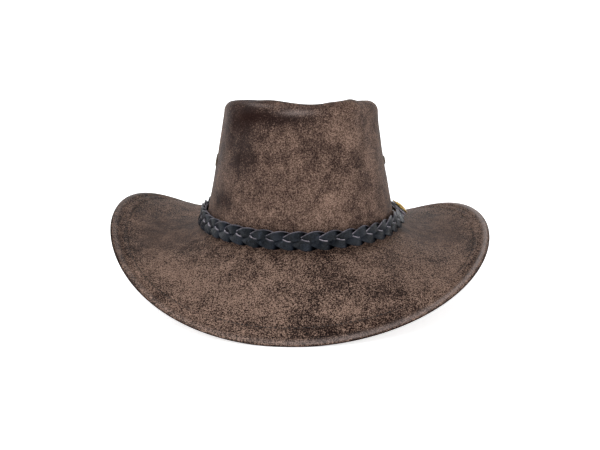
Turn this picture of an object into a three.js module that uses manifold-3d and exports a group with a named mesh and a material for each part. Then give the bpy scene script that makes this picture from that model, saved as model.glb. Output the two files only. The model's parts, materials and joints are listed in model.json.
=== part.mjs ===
// A wide-brimmed leather cowboy hat with a braided leather band, built piece by piece.
// Millimetres, +Z up, the front of the hat faces -Y and the wearer's left is +X.
// Angles round the hat start at the front (0) and grow towards the wearer's left (90 degrees).
import * as THREE from 'three';
import { ParametricGeometry } from 'three/addons/geometries/ParametricGeometry.js';
import { mergeVertices } from 'three/addons/utils/BufferGeometryUtils.js';
import Module from 'manifold-3d';

const wasm = await Module();
wasm.setup();

// ---- Driving dimensions -------------------------------------------------------------------

const AROUND = 56; // facets round the hat, the same on every nested ring so that they line up
const FACET = (2 * Math.PI) / AROUND;
const GAP = 0.3; // clearance between pieces that touch

const CROWN = {
  baseHalfWidth: 92,
  baseHalfLength: 107,
  topHalfWidth: 71.8,
  topHalfLength: 84,
  flarePower: 1.15, // how quickly the wall straightens above the brim
  baseRoundness: 2, // superellipse exponent of the plan at the brim
  topRoundness: 2.4, // and at the shoulder, which is a little squarer
  leather: 1.8,
  rimHeight: 1.2, // lower edge of the wall above the brim joint
  shoulderRadius: 9.5,
  ridgeHeight: 118.3, // ridge above the brim joint, half way back
  frontSlope: 0.13, // the ridge rises towards the front
  backSlope: 0.12, // falls towards the back
  sideSlope: 0.012, // and is a little lower on the left
};
// The crease along the top, off centre to the left, deepest behind the front and fading towards the back
const CREASE = {
  offset: 5,
  halfWidth: 44,
  depth: 24,
  frontDepth: 4.3,
  frontY: -80,
  deepY: -34,
  backY: 70,
  fading: 0.75,
};
const TOP_EDGE_POWER = 6; // how closely the top's blend into the shoulder hugs its edge
const PINCH = { angle: 50, spread: 12, depth: 3, from: 0.35 };

const BRIM = {
  jointHalfWidth: 91,
  jointHalfLength: 106,
  edgeHalfWidth: 178.4,
  edgeFront: 174.5,
  edgeBack: 184.8,
  // height of the edge above the joint, as a cosine series of the angle round the hat
  edgeWaves: [-25.9, -8.8, -31.2, 9.0, -1.2],
  edgeLean: -2.6, // the right side is this much higher, the left side as much lower
  edgeTwist: 6.1, // the right front and left rear hang lower than their opposites
  frontArch: 5, // outward bow of the drooping front and back
  sideSag: 11, // inward bow of the sides, which curl up
  topLeather: 1.5,
  underLeather: 1.2,
  flapLeather: 1.1,
  collarLeather: 1.4,
  collarHeight: 11,
  collarBend: 0.6, // start of the bend from the collar to the brim, below the crown's rim
  collarStep: 1,
  hemWidth: 12, // stitch line to wire
  grooveDepth: 0.6,
  grooveHalfWidth: 1.6,
  padRise: 0.4, // swelling between the stitches and the wire
  flapSwell: 0.2,
  flapBeyond: 1, // how far the turned-under hem reaches inside the stitches
  beadLeather: 1.3,
  wireRadius: 1,
  wireRoom: 1.3, // radius of the tunnel round the wire
  wireDepth: 2.6, // wire axis below the upper face
  plyGap: 0.35, // between the two plies
  flapGap: 0.6, // between the lower ply and the hem turned under it
  flattened: 0.7, // how far the hem is pressed flat where the hat stands
  settled: 0.5, // leather this close to the surface has sunk onto it
};
// The wire's joint is at the back, clear of the part of the hem that the hat stands on
const FERRULE = {
  angle: Math.PI - 5 * FACET,
  length: 8,
  bore: 1.5,
  radius: 1.85,
  tunnelSwell: 1.5,
  swellAngle: 0.087,
  segments: 12,
};
const THREAD_RADIUS = 0.35;

const SWEATBAND = { height: 34, bottom: -1.4, leather: 1.3, lowStep: 3, highStep: 22 };
const REED_RADIUS = 0.9;
const SEAM_TAB = { thickness: 1, bottom: 3, top: 30 };

const EYELET = {
  height: 63,
  hole: 2.9,
  barrel: 2.6,
  bore: 1.9,
  flange: 4.3,
  flangeEdge: 0.6,
  dome: 1,
  domeInside: 1.1, // crest of the dome, inside the flange's edge
  lip: 0.7,
  reach: 2.2, // barrel past the crown's inner face
  washer: 4.5,
  washerSeat: 0.7,
  washerThickness: 0.6,
  cutterLength: 12,
  segments: 12,
};

const BAND = {
  halfWidth: 95, // centre line of the braid
  halfLength: 110.3,
  height: 10.8,
  lean: 15, // degrees, follows the crown wall
  endLean: 34, // and turns up to meet the stud
  endOutward: 1.2,
  endReach: 40, // length over which the ends do so
  endGap: 1.2, // between an end and its tab
  swing: 5.25, // sideways swing of each strand
  strandHalfWidth: 2.5,
  strandThickness: 1.1,
  weave: 2.2, // how far a strand rises as it passes over
  weaveSharp: -0.4,
  roll: 0.15,
  periods: 13,
  stepsPerPeriod: 9,
};
const STUD = {
  angle: 94, // degrees round the hat
  outward: 2, // beyond the braid's centre line
  facing: new THREE.Vector3(0.66, 0.05, 0.75).normalize(),
  radius: 9.5,
  dome: 3,
  postRadius: 2,
  postBore: 1.25,
  screwRadius: 0.9,
  screwHead: 4.4,
  screwHeadThickness: 1.2,
  capSegments: 20,
  screwSegments: 16,
};
const TAB = { length: 26, width: 14, thickness: 1.8, hole: 2.35, corner: 3, cornerSegments: 5 };

const LEATHER = new THREE.MeshStandardMaterial({ color: 0x5e4a40, roughness: 0.72, metalness: 0 });
const UNDER_LEATHER = new THREE.MeshStandardMaterial({ color: 0x4a3a32, roughness: 0.85, metalness: 0 });
const BAND_LEATHER = new THREE.MeshStandardMaterial({ color: 0x23262c, roughness: 0.5, metalness: 0 });
const SWEAT_LEATHER = new THREE.MeshStandardMaterial({ color: 0x3a2b22, roughness: 0.65, metalness: 0 });
const THREAD = new THREE.MeshStandardMaterial({ color: 0x1d1a1a, roughness: 0.8, metalness: 0 });
const STEEL = new THREE.MeshStandardMaterial({ color: 0x9a9c9e, roughness: 0.4, metalness: 1 });
const BRASS = new THREE.MeshStandardMaterial({ color: 0xb8923e, roughness: 0.3, metalness: 1 });
const REED = new THREE.MeshStandardMaterial({ color: 0x2a2a2c, roughness: 0.5, metalness: 0 });

// ---- Solid helpers ------------------------------------------------------------------------

const hat = new THREE.Group();

function add(name, geometry, material, parent = hat) {
  const mesh = new THREE.Mesh(geometry, material);
  mesh.name = name;
  parent.add(mesh);
  return mesh;
}

function signedVolume(geometry) {
  const [a, b, c] = [new THREE.Vector3(), new THREE.Vector3(), new THREE.Vector3()];
  const { position } = geometry.attributes;
  const { array } = geometry.index;
  let volume = 0;
  for (let i = 0; i < array.length; i += 3) {
    a.fromBufferAttribute(position, array[i]);
    b.fromBufferAttribute(position, array[i + 1]);
    c.fromBufferAttribute(position, array[i + 2]);
    volume += a.dot(b.cross(c));
  }
  return volume;
}

// Merges shared corners, drops collapsed faces and turns the skin outside out if need be
function weld(raw) {
  raw.deleteAttribute('normal');
  raw.deleteAttribute('uv');
  const merged = mergeVertices(raw);
  const { array } = merged.index;
  const faces = [];
  for (let i = 0; i < array.length; i += 3) {
    const [a, b, c] = [array[i], array[i + 1], array[i + 2]];
    if (a !== b && b !== c && c !== a) faces.push(a, b, c);
  }
  merged.setIndex(faces);
  if (signedVolume(merged) < 0) merged.setIndex(faces.toReversed());
  merged.computeVertexNormals();
  return merged;
}

// A closed skin over a grid of points: pointAt(column, row)
function skin(pointAt, columns, rows) {
  const onGrid = (u, v, target) => target.copy(pointAt(Math.round(u * columns), Math.round(v * rows)));
  return weld(new ParametricGeometry(onGrid, columns, rows));
}

// A ring round the hat: section(angle) gives the corners of its closed cross-section
function ring(section) {
  const sections = Array.from({ length: AROUND }, (_, i) => section(i * FACET));
  const corners = sections[0].length;
  return skin((i, j) => sections[i % AROUND][j % corners], AROUND, corners);
}

// A bar with capped ends through a list of cross-sections
function bar(sections) {
  const sum = (points) => points.reduce((total, p) => total.add(p), new THREE.Vector3());
  const middle = (points) => sum(points).divideScalar(points.length);
  const last = sections.length - 1;
  const corners = sections[0].length;
  const pointAt = (i, j) => {
    if (i === 0) return middle(sections[0]);
    if (i === last + 2) return middle(sections[last]);
    return sections[i - 1][j % corners];
  };
  return skin(pointAt, last + 2, corners);
}

function toSolid(geometry) {
  const vertProperties = new Float32Array(geometry.attributes.position.array);
  const triVerts = new Uint32Array(geometry.index.array);
  return new wasm.Manifold(new wasm.Mesh({ numProp: 3, vertProperties, triVerts }));
}

function toGeometry(solid) {
  const { vertProperties, triVerts } = solid.getMesh();
  const geometry = new THREE.BufferGeometry();
  geometry.setAttribute('position', new THREE.BufferAttribute(vertProperties, 3));
  geometry.setIndex(new THREE.BufferAttribute(triVerts, 1));
  geometry.computeVertexNormals();
  return geometry;
}

// A turned piece: profile of [radius, height] corners, closed on itself, axis along +Z
function turned(profile, segments) {
  const points = [...profile, profile[0]].map(([r, z]) => new THREE.Vector2(r, z));
  return weld(new THREE.LatheGeometry(points, segments).rotateX(Math.PI / 2));
}

// ---- Crown --------------------------------------------------------------------------------

const { smoothstep, lerp, degToRad } = THREE.MathUtils;

// Height of the blocked top over the plan point (x, y): sloping ridges with a crease between them
function topHeight(x, y) {
  const slope = y < 0 ? CROWN.frontSlope : CROWN.backSlope;
  const across = Math.min(1, Math.abs(x - CREASE.offset) / CREASE.halfWidth);
  const deepening = smoothstep(y, CREASE.frontY, CREASE.deepY);
  const ending = 1 - CREASE.fading * smoothstep(y, 0, CREASE.backY);
  const depth = lerp(CREASE.frontDepth, CREASE.depth, deepening) * ending;
  const ridge = CROWN.ridgeHeight - slope * y - CROWN.sideSlope * x;
  return ridge - depth * Math.cos((across * Math.PI) / 2) ** 2;
}

// Plan of the crown at a wall fraction t (0 at the brim, 1 at the shoulder), drawn in by inset
function crownPlan(angle, t, inset = 0) {
  const flare = Math.max(0, 1 - t) ** CROWN.flarePower;
  const halfWidth = lerp(CROWN.topHalfWidth, CROWN.baseHalfWidth, flare) - inset;
  const halfLength = lerp(CROWN.topHalfLength, CROWN.baseHalfLength, flare) - inset;
  const [s, c] = [Math.sin(angle), Math.cos(angle)];
  const power = lerp(CROWN.baseRoundness, CROWN.topRoundness, t);
  const round = (Math.abs(s) ** power + Math.abs(c) ** power) ** (-1 / power);
  const fromFront = Math.abs(THREE.MathUtils.euclideanModulo(angle + Math.PI, 2 * Math.PI) - Math.PI);
  const offPinch = (fromFront - degToRad(PINCH.angle)) / degToRad(PINCH.spread);
  const pinch = PINCH.depth * smoothstep(t, PINCH.from, 1) * Math.exp(-offPinch * offPinch);
  const scale = round * (1 - pinch / halfLength);
  return new THREE.Vector2(halfWidth * s * scale, -halfLength * c * scale);
}

function shoulderHeight(angle) {
  const plan = crownPlan(angle, 1);
  return topHeight(plan.x, plan.y) - CROWN.shoulderRadius;
}

// Outer face of the wall at a height above the brim joint
function wallPoint(angle, height, inset = 0) {
  const plan = crownPlan(angle, height / shoulderHeight(angle), inset);
  return new THREE.Vector3(plan.x, plan.y, height);
}

const WALL_STEPS = [0, 0.12, 0.28, 0.46, 0.64, 0.82, 1];
const SHOULDER_STEPS = [30, 60, 90].map(degToRad);
const TOP_STEPS = [0.84, 0.66, 0.46, 0.24, 0];

// Points down one meridian of the crown, from its rim to the middle of its top
function crownMeridian(angle, leather) {
  const rise = shoulderHeight(angle) - CROWN.rimHeight;
  const radius = CROWN.shoulderRadius - leather;
  const wall = WALL_STEPS.map((t) => wallPoint(angle, CROWN.rimHeight + t * rise, leather));
  const shoulder = SHOULDER_STEPS.map((turn) => {
    const plan = crownPlan(angle, 1, leather + radius * (1 - Math.cos(turn)));
    return new THREE.Vector3(plan.x, plan.y, shoulderHeight(angle) + radius * Math.sin(turn));
  });
  const inner = crownPlan(angle, 1, CROWN.shoulderRadius);
  const top = TOP_STEPS.map((scale) => {
    const [x, y] = [inner.x * scale, inner.y * scale];
    const edge = shoulderHeight(angle) + CROWN.shoulderRadius - topHeight(inner.x, inner.y);
    return new THREE.Vector3(x, y, topHeight(x, y) + edge * scale ** TOP_EDGE_POWER - leather);
  });
  return [...wall, ...shoulder, ...top];
}

function crownShell() {
  return ring((angle) => {
    const outside = crownMeridian(angle, 0);
    const inside = crownMeridian(angle, CROWN.leather);
    return [...outside.reverse(), ...inside];
  });
}

// ---- Brim ---------------------------------------------------------------------------------

// Upper face of the brim at a fraction across it, 0 at the crown and 1 above the wire
function brimFace(angle, across) {
  const [s, c] = [Math.sin(angle), Math.cos(angle)];
  const wave = BRIM.edgeWaves.reduce((sum, height, n) => sum + height * Math.cos(n * angle), 0);
  const edgeHeight = wave + BRIM.edgeLean * s + BRIM.edgeTwist * Math.sin(2 * angle);
  const bow = lerp(BRIM.frontArch, -BRIM.sideSag, s * s) * 4 * across * (1 - across);
  const edgeHalfLength = c > 0 ? BRIM.edgeFront : BRIM.edgeBack;
  const x = lerp(BRIM.jointHalfWidth, BRIM.edgeHalfWidth, across) * s;
  const y = -lerp(BRIM.jointHalfLength, edgeHalfLength, across) * c;
  return new THREE.Vector3(x, y, edgeHeight * across + bow);
}

// Outward direction and upward normal of the brim
function brimFrame(angle, across) {
  const small = 1e-3;
  const outward = brimFace(angle, across + small).sub(brimFace(angle, across - small)).normalize();
  const along = brimFace(angle + small, across).sub(brimFace(angle - small, across));
  const up = outward.clone().cross(along).normalize();
  return { outward, up };
}

function brimWidth(angle) {
  return brimFace(angle, 0).distanceTo(brimFace(angle, 1));
}

// A point under the upper face, placed by its fraction across the brim
function brimPoint(angle, across, depth) {
  return brimFace(angle, across).addScaledVector(brimFrame(angle, across).up, -depth);
}

// The same, placed by its distance inside the wire
function hemPoint(angle, inside, depth) {
  return brimPoint(angle, 1 - inside / brimWidth(angle), depth);
}

// A point on a circle round the wire, 90 degrees on top and -90 degrees underneath
function beadPoint(angle, radius, turn) {
  const { outward, up } = brimFrame(angle, 1);
  return hemPoint(angle, 0, BRIM.wireDepth)
    .addScaledVector(outward, radius * Math.cos(degToRad(turn)))
    .addScaledVector(up, radius * Math.sin(degToRad(turn)));
}

function tunnelRadius(angle) {
  const off = (angle - FERRULE.angle) / FERRULE.swellAngle;
  return BRIM.wireRoom + FERRULE.tunnelSwell * Math.exp(-off * off);
}

// Lowest height of the hem once it is pressed flat where it stands
const LOWEST_TURN = -45;
const hemHeights = Array.from({ length: AROUND }, (_, i) =>
  beadPoint(i * FACET, BRIM.wireRoom + BRIM.beadLeather, LOWEST_TURN).z);
const STANDING_HEIGHT = BRIM.flattened + Math.min(...hemHeights);

function onFloor(point) {
  return point.z < STANDING_HEIGHT + BRIM.settled ? point.setZ(STANDING_HEIGHT) : point;
}

const BRIM_STEPS = [0.06, 0.28, 0.52, 0.76];
const BEAD_TURNS = [90, 45, 0, -45, -90];
const TUNNEL_TURNS = [-90, -30, 30, 90];
const UNDER_CLEARANCE = 0.8; // from the lower ply's edge to the fold of the hem

// Upper ply: collar inside the crown, brim face, and a hem that wraps the wire and tucks under
function topPly(angle) {
  const bead = tunnelRadius(angle) + BRIM.beadLeather;
  const collar = CROWN.leather + GAP;
  const collarInside = collar + BRIM.collarLeather;
  const flapTop = BRIM.topLeather + BRIM.plyGap + BRIM.underLeather + BRIM.flapGap;
  const flapBottom = flapTop + BRIM.flapLeather;
  const flapEdge = BRIM.hemWidth + BRIM.flapBeyond;
  return [
    wallPoint(angle, BRIM.collarHeight, collar),
    wallPoint(angle, CROWN.rimHeight + BRIM.collarStep, collar),
    wallPoint(angle, CROWN.rimHeight - BRIM.collarBend, collar),
    ...BRIM_STEPS.map((across) => brimPoint(angle, across, 0)),
    hemPoint(angle, BRIM.hemWidth + BRIM.grooveHalfWidth, 0),
    hemPoint(angle, BRIM.hemWidth, BRIM.grooveDepth),
    hemPoint(angle, BRIM.hemWidth - BRIM.grooveHalfWidth, 0),
    hemPoint(angle, BRIM.hemWidth / 2, -BRIM.padRise),
    ...BEAD_TURNS.map((turn) => onFloor(beadPoint(angle, bead, turn))),
    onFloor(hemPoint(angle, BRIM.hemWidth / 2, flapBottom + BRIM.flapSwell)),
    onFloor(hemPoint(angle, flapEdge, flapBottom)),
    hemPoint(angle, flapEdge, flapTop),
    hemPoint(angle, BRIM.hemWidth / 3, flapTop),
    ...TUNNEL_TURNS.map((turn) => beadPoint(angle, tunnelRadius(angle), turn)),
    hemPoint(angle, BRIM.hemWidth / 3, BRIM.topLeather),
    ...BRIM_STEPS.toReversed().map((across) => brimPoint(angle, across, BRIM.topLeather)),
    wallPoint(angle, -BRIM.topLeather, collarInside),
    wallPoint(angle, CROWN.rimHeight + BRIM.collarStep, collarInside),
    wallPoint(angle, BRIM.collarHeight, collarInside),
  ];
}

// Lower ply: from the head opening to inside the hem
function underPly(angle) {
  const upper = BRIM.topLeather + BRIM.plyGap;
  const lower = upper + BRIM.underLeather;
  const edge = 1 - (BRIM.hemWidth / 3 + UNDER_CLEARANCE) / brimWidth(angle);
  const steps = [...BRIM_STEPS, edge];
  return [
    ...steps.map((across) => brimPoint(angle, across, lower)),
    ...steps.toReversed().map((across) => brimPoint(angle, across, upper)),
  ];
}

const WIRE_CORNERS = [0, 60, 120, 180, 240, 300];

function wireSection(angle) {
  return WIRE_CORNERS.map((turn) => beadPoint(angle, BRIM.wireRadius, turn));
}

// Direction of the wire where its ends meet
function wireDirection() {
  const [before, after] = [-FACET, FACET].map((step) => hemPoint(FERRULE.angle + step, 0, BRIM.wireDepth));
  return after.sub(before).normalize();
}

// One open hoop whose ends meet inside the ferrule
function brimWire() {
  const start = wireSection(FERRULE.angle);
  const end = wireSection(FERRULE.angle);
  const apart = wireDirection().multiplyScalar(GAP);
  const between = Array.from({ length: AROUND - 1 }, (_, i) =>
    wireSection(FERRULE.angle + (i + 1) * FACET));
  start.forEach((point) => point.add(apart));
  end.forEach((point) => point.sub(apart));
  return bar([start, ...between, end]);
}

function threadSection(angle) {
  const depth = BRIM.grooveDepth - GAP - THREAD_RADIUS;
  const corners = [[-1, 0], [0, -1], [1, 0], [0, 1]];
  return corners.map(([inside, down]) =>
    hemPoint(angle, BRIM.hemWidth + inside * THREAD_RADIUS, depth + down * THREAD_RADIUS));
}

// ---- Sweatband ----------------------------------------------------------------------------

const SWEAT_OUTSIDE = CROWN.leather + BRIM.collarLeather + 2 * GAP;

function sweatbandSection(angle) {
  const overCollar = BRIM.collarHeight + BRIM.collarStep;
  const heights = [SWEATBAND.bottom, SWEATBAND.lowStep, overCollar, SWEATBAND.highStep, SWEATBAND.height];
  return [
    ...heights.map((height) => wallPoint(angle, height, SWEAT_OUTSIDE)),
    ...heights.toReversed().map((height) => wallPoint(angle, height, SWEAT_OUTSIDE + SWEATBAND.leather)),
  ];
}

function reedSection(angle) {
  const middle = wallPoint(angle, SWEATBAND.bottom, SWEAT_OUTSIDE + SWEATBAND.leather / 2);
  middle.z -= GAP + REED_RADIUS;
  const outward = new THREE.Vector3(middle.x, middle.y, 0).normalize();
  return [0, 72, 144, 216, 288].map((turn) => middle.clone()
    .addScaledVector(outward, REED_RADIUS * Math.sin(degToRad(turn)))
    .add(new THREE.Vector3(0, 0, REED_RADIUS * Math.cos(degToRad(turn)))));
}

// Patch over the closing seam at the back of the sweatband, one facet to each side
function seamTab() {
  const face = SWEAT_OUTSIDE + SWEATBAND.leather + GAP;
  const overCollar = BRIM.collarHeight + BRIM.collarStep;
  const heights = [SEAM_TAB.bottom, overCollar, SWEATBAND.highStep, SEAM_TAB.top];
  const section = (angle) => [
    ...heights.map((height) => wallPoint(angle, height, face)),
    ...heights.toReversed().map((height) => wallPoint(angle, height, face + SEAM_TAB.thickness)),
  ];
  return bar([-1, 0, 1].map((step) => section(Math.PI + step * FACET)));
}

// ---- Eyelets ------------------------------------------------------------------------------

// Places a turned piece on the crown wall with its axis along the wall's outward normal
function eyeletFrame(angle) {
  const small = 1e-3;
  const along = wallPoint(angle + small, EYELET.height).sub(wallPoint(angle - small, EYELET.height));
  const rise = wallPoint(angle, EYELET.height + 1).sub(wallPoint(angle, EYELET.height - 1));
  const normal = along.cross(rise).normalize();
  const frame = new THREE.Object3D();
  frame.position.copy(wallPoint(angle, EYELET.height));
  frame.quaternion.setFromUnitVectors(new THREE.Vector3(0, 0, 1), normal);
  frame.updateMatrix();
  return frame;
}

function eyelet() {
  const depth = -(CROWN.leather + EYELET.reach);
  return turned([
    [EYELET.bore, depth],
    [EYELET.barrel, depth],
    [EYELET.barrel, GAP],
    [EYELET.flange, GAP],
    [EYELET.flange, EYELET.flangeEdge],
    [EYELET.flange - EYELET.domeInside, EYELET.dome + GAP],
    [EYELET.bore, EYELET.lip],
  ], EYELET.segments);
}

function eyeletWasher() {
  const top = -(CROWN.leather + EYELET.washerSeat);
  const bottom = top - EYELET.washerThickness;
  const bore = EYELET.barrel + GAP;
  const profile = [[bore, bottom], [EYELET.washer, bottom], [EYELET.washer, top], [bore, top]];
  return turned(profile, EYELET.segments);
}

const EYELETS = {
  left_front: Math.PI / 2 - FACET,
  left_rear: Math.PI / 2 + FACET,
  right_front: -Math.PI / 2 + FACET,
  right_rear: -Math.PI / 2 - FACET,
};

function crownWithHoles() {
  const { hole, cutterLength, segments } = EYELET;
  const cutter = weld(new THREE.CylinderGeometry(hole, hole, cutterLength, segments).rotateX(Math.PI / 2));
  const drilled = Object.values(EYELETS).reduce((solid, angle) => {
    const placed = cutter.clone().applyMatrix4(eyeletFrame(angle).matrix);
    return solid.subtract(toSolid(placed));
  }, toSolid(crownShell()));
  return toGeometry(drilled);
}

// ---- Braided band -------------------------------------------------------------------------

const STUD_ANGLE = degToRad(STUD.angle);
const LONG_AXIS = new THREE.Vector3(Math.cos(STUD_ANGLE), Math.sin(STUD_ANGLE), 0)
  .projectOnPlane(STUD.facing).normalize();
const STUD_CENTRE = new THREE.Vector3(
  (BAND.halfWidth + STUD.outward) * Math.sin(STUD_ANGLE),
  -(BAND.halfLength + STUD.outward) * Math.cos(STUD_ANGLE),
  BAND.height,
);

// Oval path of the braid, starting behind the stud and ending in front of it
const START = STUD_ANGLE - Math.PI / 2;
const LOOP = new THREE.EllipseCurve(0, 0, BAND.halfWidth, BAND.halfLength, START, START + 2 * Math.PI);
const LOOP_LENGTH = LOOP.getLength();
const END_GAP = TAB.length / 2 + BAND.endGap;
const BRAID_LENGTH = LOOP_LENGTH - 2 * END_GAP;

// Position and axes of the braid at a distance along it
function braidFrame(distance) {
  const along = (END_GAP + distance) / LOOP_LENGTH;
  const point = LOOP.getPointAt(along);
  const tangent = LOOP.getTangentAt(along);
  const fromEnd = Math.min(distance, BRAID_LENGTH - distance);
  const clear = smoothstep(fromEnd, 0, BAND.endReach);
  const lean = degToRad(lerp(BAND.endLean, BAND.lean, clear));
  const outward = new THREE.Vector3(tangent.y, -tangent.x, 0);
  const face = outward.clone().multiplyScalar(Math.cos(lean)).setZ(Math.sin(lean));
  const up = outward.clone().multiplyScalar(-Math.sin(lean)).setZ(Math.cos(lean));
  const centre = new THREE.Vector3(point.x, point.y, BAND.height);
  centre.addScaledVector(outward, lerp(BAND.endOutward, 0, clear));
  return { centre, face, up };
}

// Corners of one strand's flat section; it rises where it crosses over and sinks where it goes under
function strandSection(distance, phase) {
  const { centre, face, up } = braidFrame(distance);
  const turn = (distance / BRAID_LENGTH) * BAND.periods * 2 * Math.PI + phase;
  const slope = (BAND.swing * 2 * Math.PI * BAND.periods * Math.cos(turn)) / BRAID_LENGTH;
  const halfWidth = BAND.strandHalfWidth * Math.hypot(1, slope);
  const rise = BAND.weave * Math.sin(2 * turn) + BAND.weaveSharp * Math.sin(4 * turn);
  return [[-1, -1], [1, -1], [1, 1], [-1, 1]].map(([side, out]) => {
    const off = side * halfWidth;
    const depth = rise + BAND.roll * Math.cos(turn) * off + (out * BAND.strandThickness) / 2;
    return centre.clone()
      .addScaledVector(up, BAND.swing * Math.sin(turn) + off)
      .addScaledVector(face, depth);
  });
}

function strand(phase) {
  const steps = BAND.periods * BAND.stepsPerPeriod;
  const sections = Array.from({ length: steps + 1 }, (_, i) =>
    strandSection((i / steps) * BRAID_LENGTH, phase));
  return bar(sections);
}

function tabGeometry() {
  const [l, w, r] = [TAB.length / 2, TAB.width / 2, TAB.corner];
  const outline = new THREE.Shape()
    .moveTo(-l + r, -w).lineTo(l - r, -w).absarc(l - r, -w + r, r, -Math.PI / 2, 0)
    .lineTo(l, w - r).absarc(l - r, w - r, r, 0, Math.PI / 2)
    .lineTo(-l + r, w).absarc(-l + r, w - r, r, Math.PI / 2, Math.PI)
    .lineTo(-l, -w + r).absarc(-l + r, -w + r, r, Math.PI, 1.5 * Math.PI);
  outline.holes.push(new THREE.Path().absarc(0, 0, TAB.hole, 0, 2 * Math.PI, true));
  const options = { depth: TAB.thickness, bevelEnabled: false, curveSegments: TAB.cornerSegments };
  return weld(new THREE.ExtrudeGeometry(outline, options));
}

// A frame on the stud's axis: X along the band, Z the way the stud faces
function studGroup() {
  const group = new THREE.Group();
  const across = STUD.facing.clone().cross(LONG_AXIS);
  group.quaternion.setFromRotationMatrix(new THREE.Matrix4().makeBasis(LONG_AXIS, across, STUD.facing));
  group.position.copy(STUD_CENTRE);
  return group;
}

function studCap() {
  const seat = TAB.thickness + GAP / 2 + GAP;
  const postEnd = -(TAB.thickness + GAP / 2 + GAP / 2);
  const boreEnd = seat + 0.6;
  return turned([
    [STUD.postBore, postEnd],
    [STUD.postRadius, postEnd],
    [STUD.postRadius, seat],
    [STUD.radius - 0.6, seat],
    [STUD.radius, seat + 0.5],
    [STUD.radius - 0.5, seat + 1.1],
    [STUD.radius * 0.72, seat + STUD.dome * 0.75],
    [STUD.radius * 0.38, seat + STUD.dome],
    [0, seat + STUD.dome * 1.05],
    [0, boreEnd],
    [STUD.postBore, boreEnd],
  ], STUD.capSegments);
}

function studScrew() {
  const seat = -(TAB.thickness + GAP / 2 + GAP);
  const head = seat - STUD.screwHeadThickness;
  return turned([
    [0, head],
    [STUD.screwHead - 0.4, head],
    [STUD.screwHead, seat - 0.5],
    [STUD.screwHead, seat],
    [STUD.screwRadius, seat],
    [STUD.screwRadius, TAB.thickness],
    [0, TAB.thickness],
  ], STUD.screwSegments);
}

// ---- Assembly -----------------------------------------------------------------------------

add('crown', crownWithHoles(), LEATHER);
add('brim_top', ring(topPly), LEATHER);
add('brim_under', ring(underPly), UNDER_LEATHER);
add('brim_wire', brimWire(), STEEL);
add('hem_thread', ring(threadSection), THREAD);

const ferrule = add('wire_ferrule', turned([
  [FERRULE.bore, -FERRULE.length / 2], [FERRULE.radius, -FERRULE.length / 2],
  [FERRULE.radius, FERRULE.length / 2], [FERRULE.bore, FERRULE.length / 2],
], FERRULE.segments), BRASS);
ferrule.position.copy(hemPoint(FERRULE.angle, 0, BRIM.wireDepth));
ferrule.quaternion.setFromUnitVectors(new THREE.Vector3(0, 0, 1), wireDirection());

add('sweatband', ring(sweatbandSection), SWEAT_LEATHER);
add('sweatband_reed', ring(reedSection), REED);
add('sweatband_seam_tab', seamTab(), SWEAT_LEATHER);

for (const [place, angle] of Object.entries(EYELETS)) {
  const { position, quaternion } = eyeletFrame(angle);
  const pieces = [
    add(`eyelet_${place}`, eyelet(), BRASS),
    add(`eyelet_washer_${place}`, eyeletWasher(), BRASS),
  ];
  for (const piece of pieces) {
    piece.position.copy(position);
    piece.quaternion.copy(quaternion);
  }
}

['braid_strand_a', 'braid_strand_b', 'braid_strand_c'].forEach((name, i) => {
  add(name, strand((i * 2 * Math.PI) / 3), BAND_LEATHER);
});

const stud = studGroup();
hat.add(stud);
add('band_tab_front', tabGeometry(), BAND_LEATHER, stud).position.z = GAP / 2;
add('band_tab_rear', tabGeometry(), BAND_LEATHER, stud).position.z = -GAP / 2 - TAB.thickness;
add('stud_cap', studCap(), BRASS, stud);
add('stud_screw', studScrew(), BRASS, stud);

// The origin is on the surface that the hat stands on, under the middle of the brim
hat.updateMatrixWorld(true);
const box = new THREE.Box3().setFromObject(hat, true);
hat.position.set(-(box.min.x + box.max.x) / 2, -(box.min.y + box.max.y) / 2, -box.min.z);

export default hat;
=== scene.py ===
"""A cowboy hat in distressed leather: skins, braid, stitching and fittings around the CAD frame.

Metres, +Z up, the front of the hat faces -Y and the wearer's left is +X. Angles round the hat start
at the front and grow towards the wearer's left. Dimensions below are in millimetres unless noted.
"""

import json
import math

import bmesh
import bpy
import numpy as np
from mathutils import Matrix, Vector


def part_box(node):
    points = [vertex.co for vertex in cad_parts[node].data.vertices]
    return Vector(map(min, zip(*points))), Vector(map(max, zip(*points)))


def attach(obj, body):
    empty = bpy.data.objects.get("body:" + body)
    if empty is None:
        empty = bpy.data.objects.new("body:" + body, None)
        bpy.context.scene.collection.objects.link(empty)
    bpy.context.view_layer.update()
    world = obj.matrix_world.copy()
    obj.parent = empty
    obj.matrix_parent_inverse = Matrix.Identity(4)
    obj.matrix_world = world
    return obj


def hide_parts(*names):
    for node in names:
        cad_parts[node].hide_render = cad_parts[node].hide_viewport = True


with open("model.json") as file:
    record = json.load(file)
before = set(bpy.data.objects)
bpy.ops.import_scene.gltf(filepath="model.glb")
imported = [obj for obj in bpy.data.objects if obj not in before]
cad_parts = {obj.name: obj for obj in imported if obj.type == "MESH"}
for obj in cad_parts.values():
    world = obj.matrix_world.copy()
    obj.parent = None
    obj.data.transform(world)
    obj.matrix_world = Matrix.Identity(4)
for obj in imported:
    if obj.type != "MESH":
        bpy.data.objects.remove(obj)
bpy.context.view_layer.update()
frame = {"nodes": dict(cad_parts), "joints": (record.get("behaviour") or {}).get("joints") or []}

MM = 0.001
FACET = 2 * math.pi / 56  # the rings of the CAD have 56 facets

# ---- Driving dimensions, the same shape as the CAD ----

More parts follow.
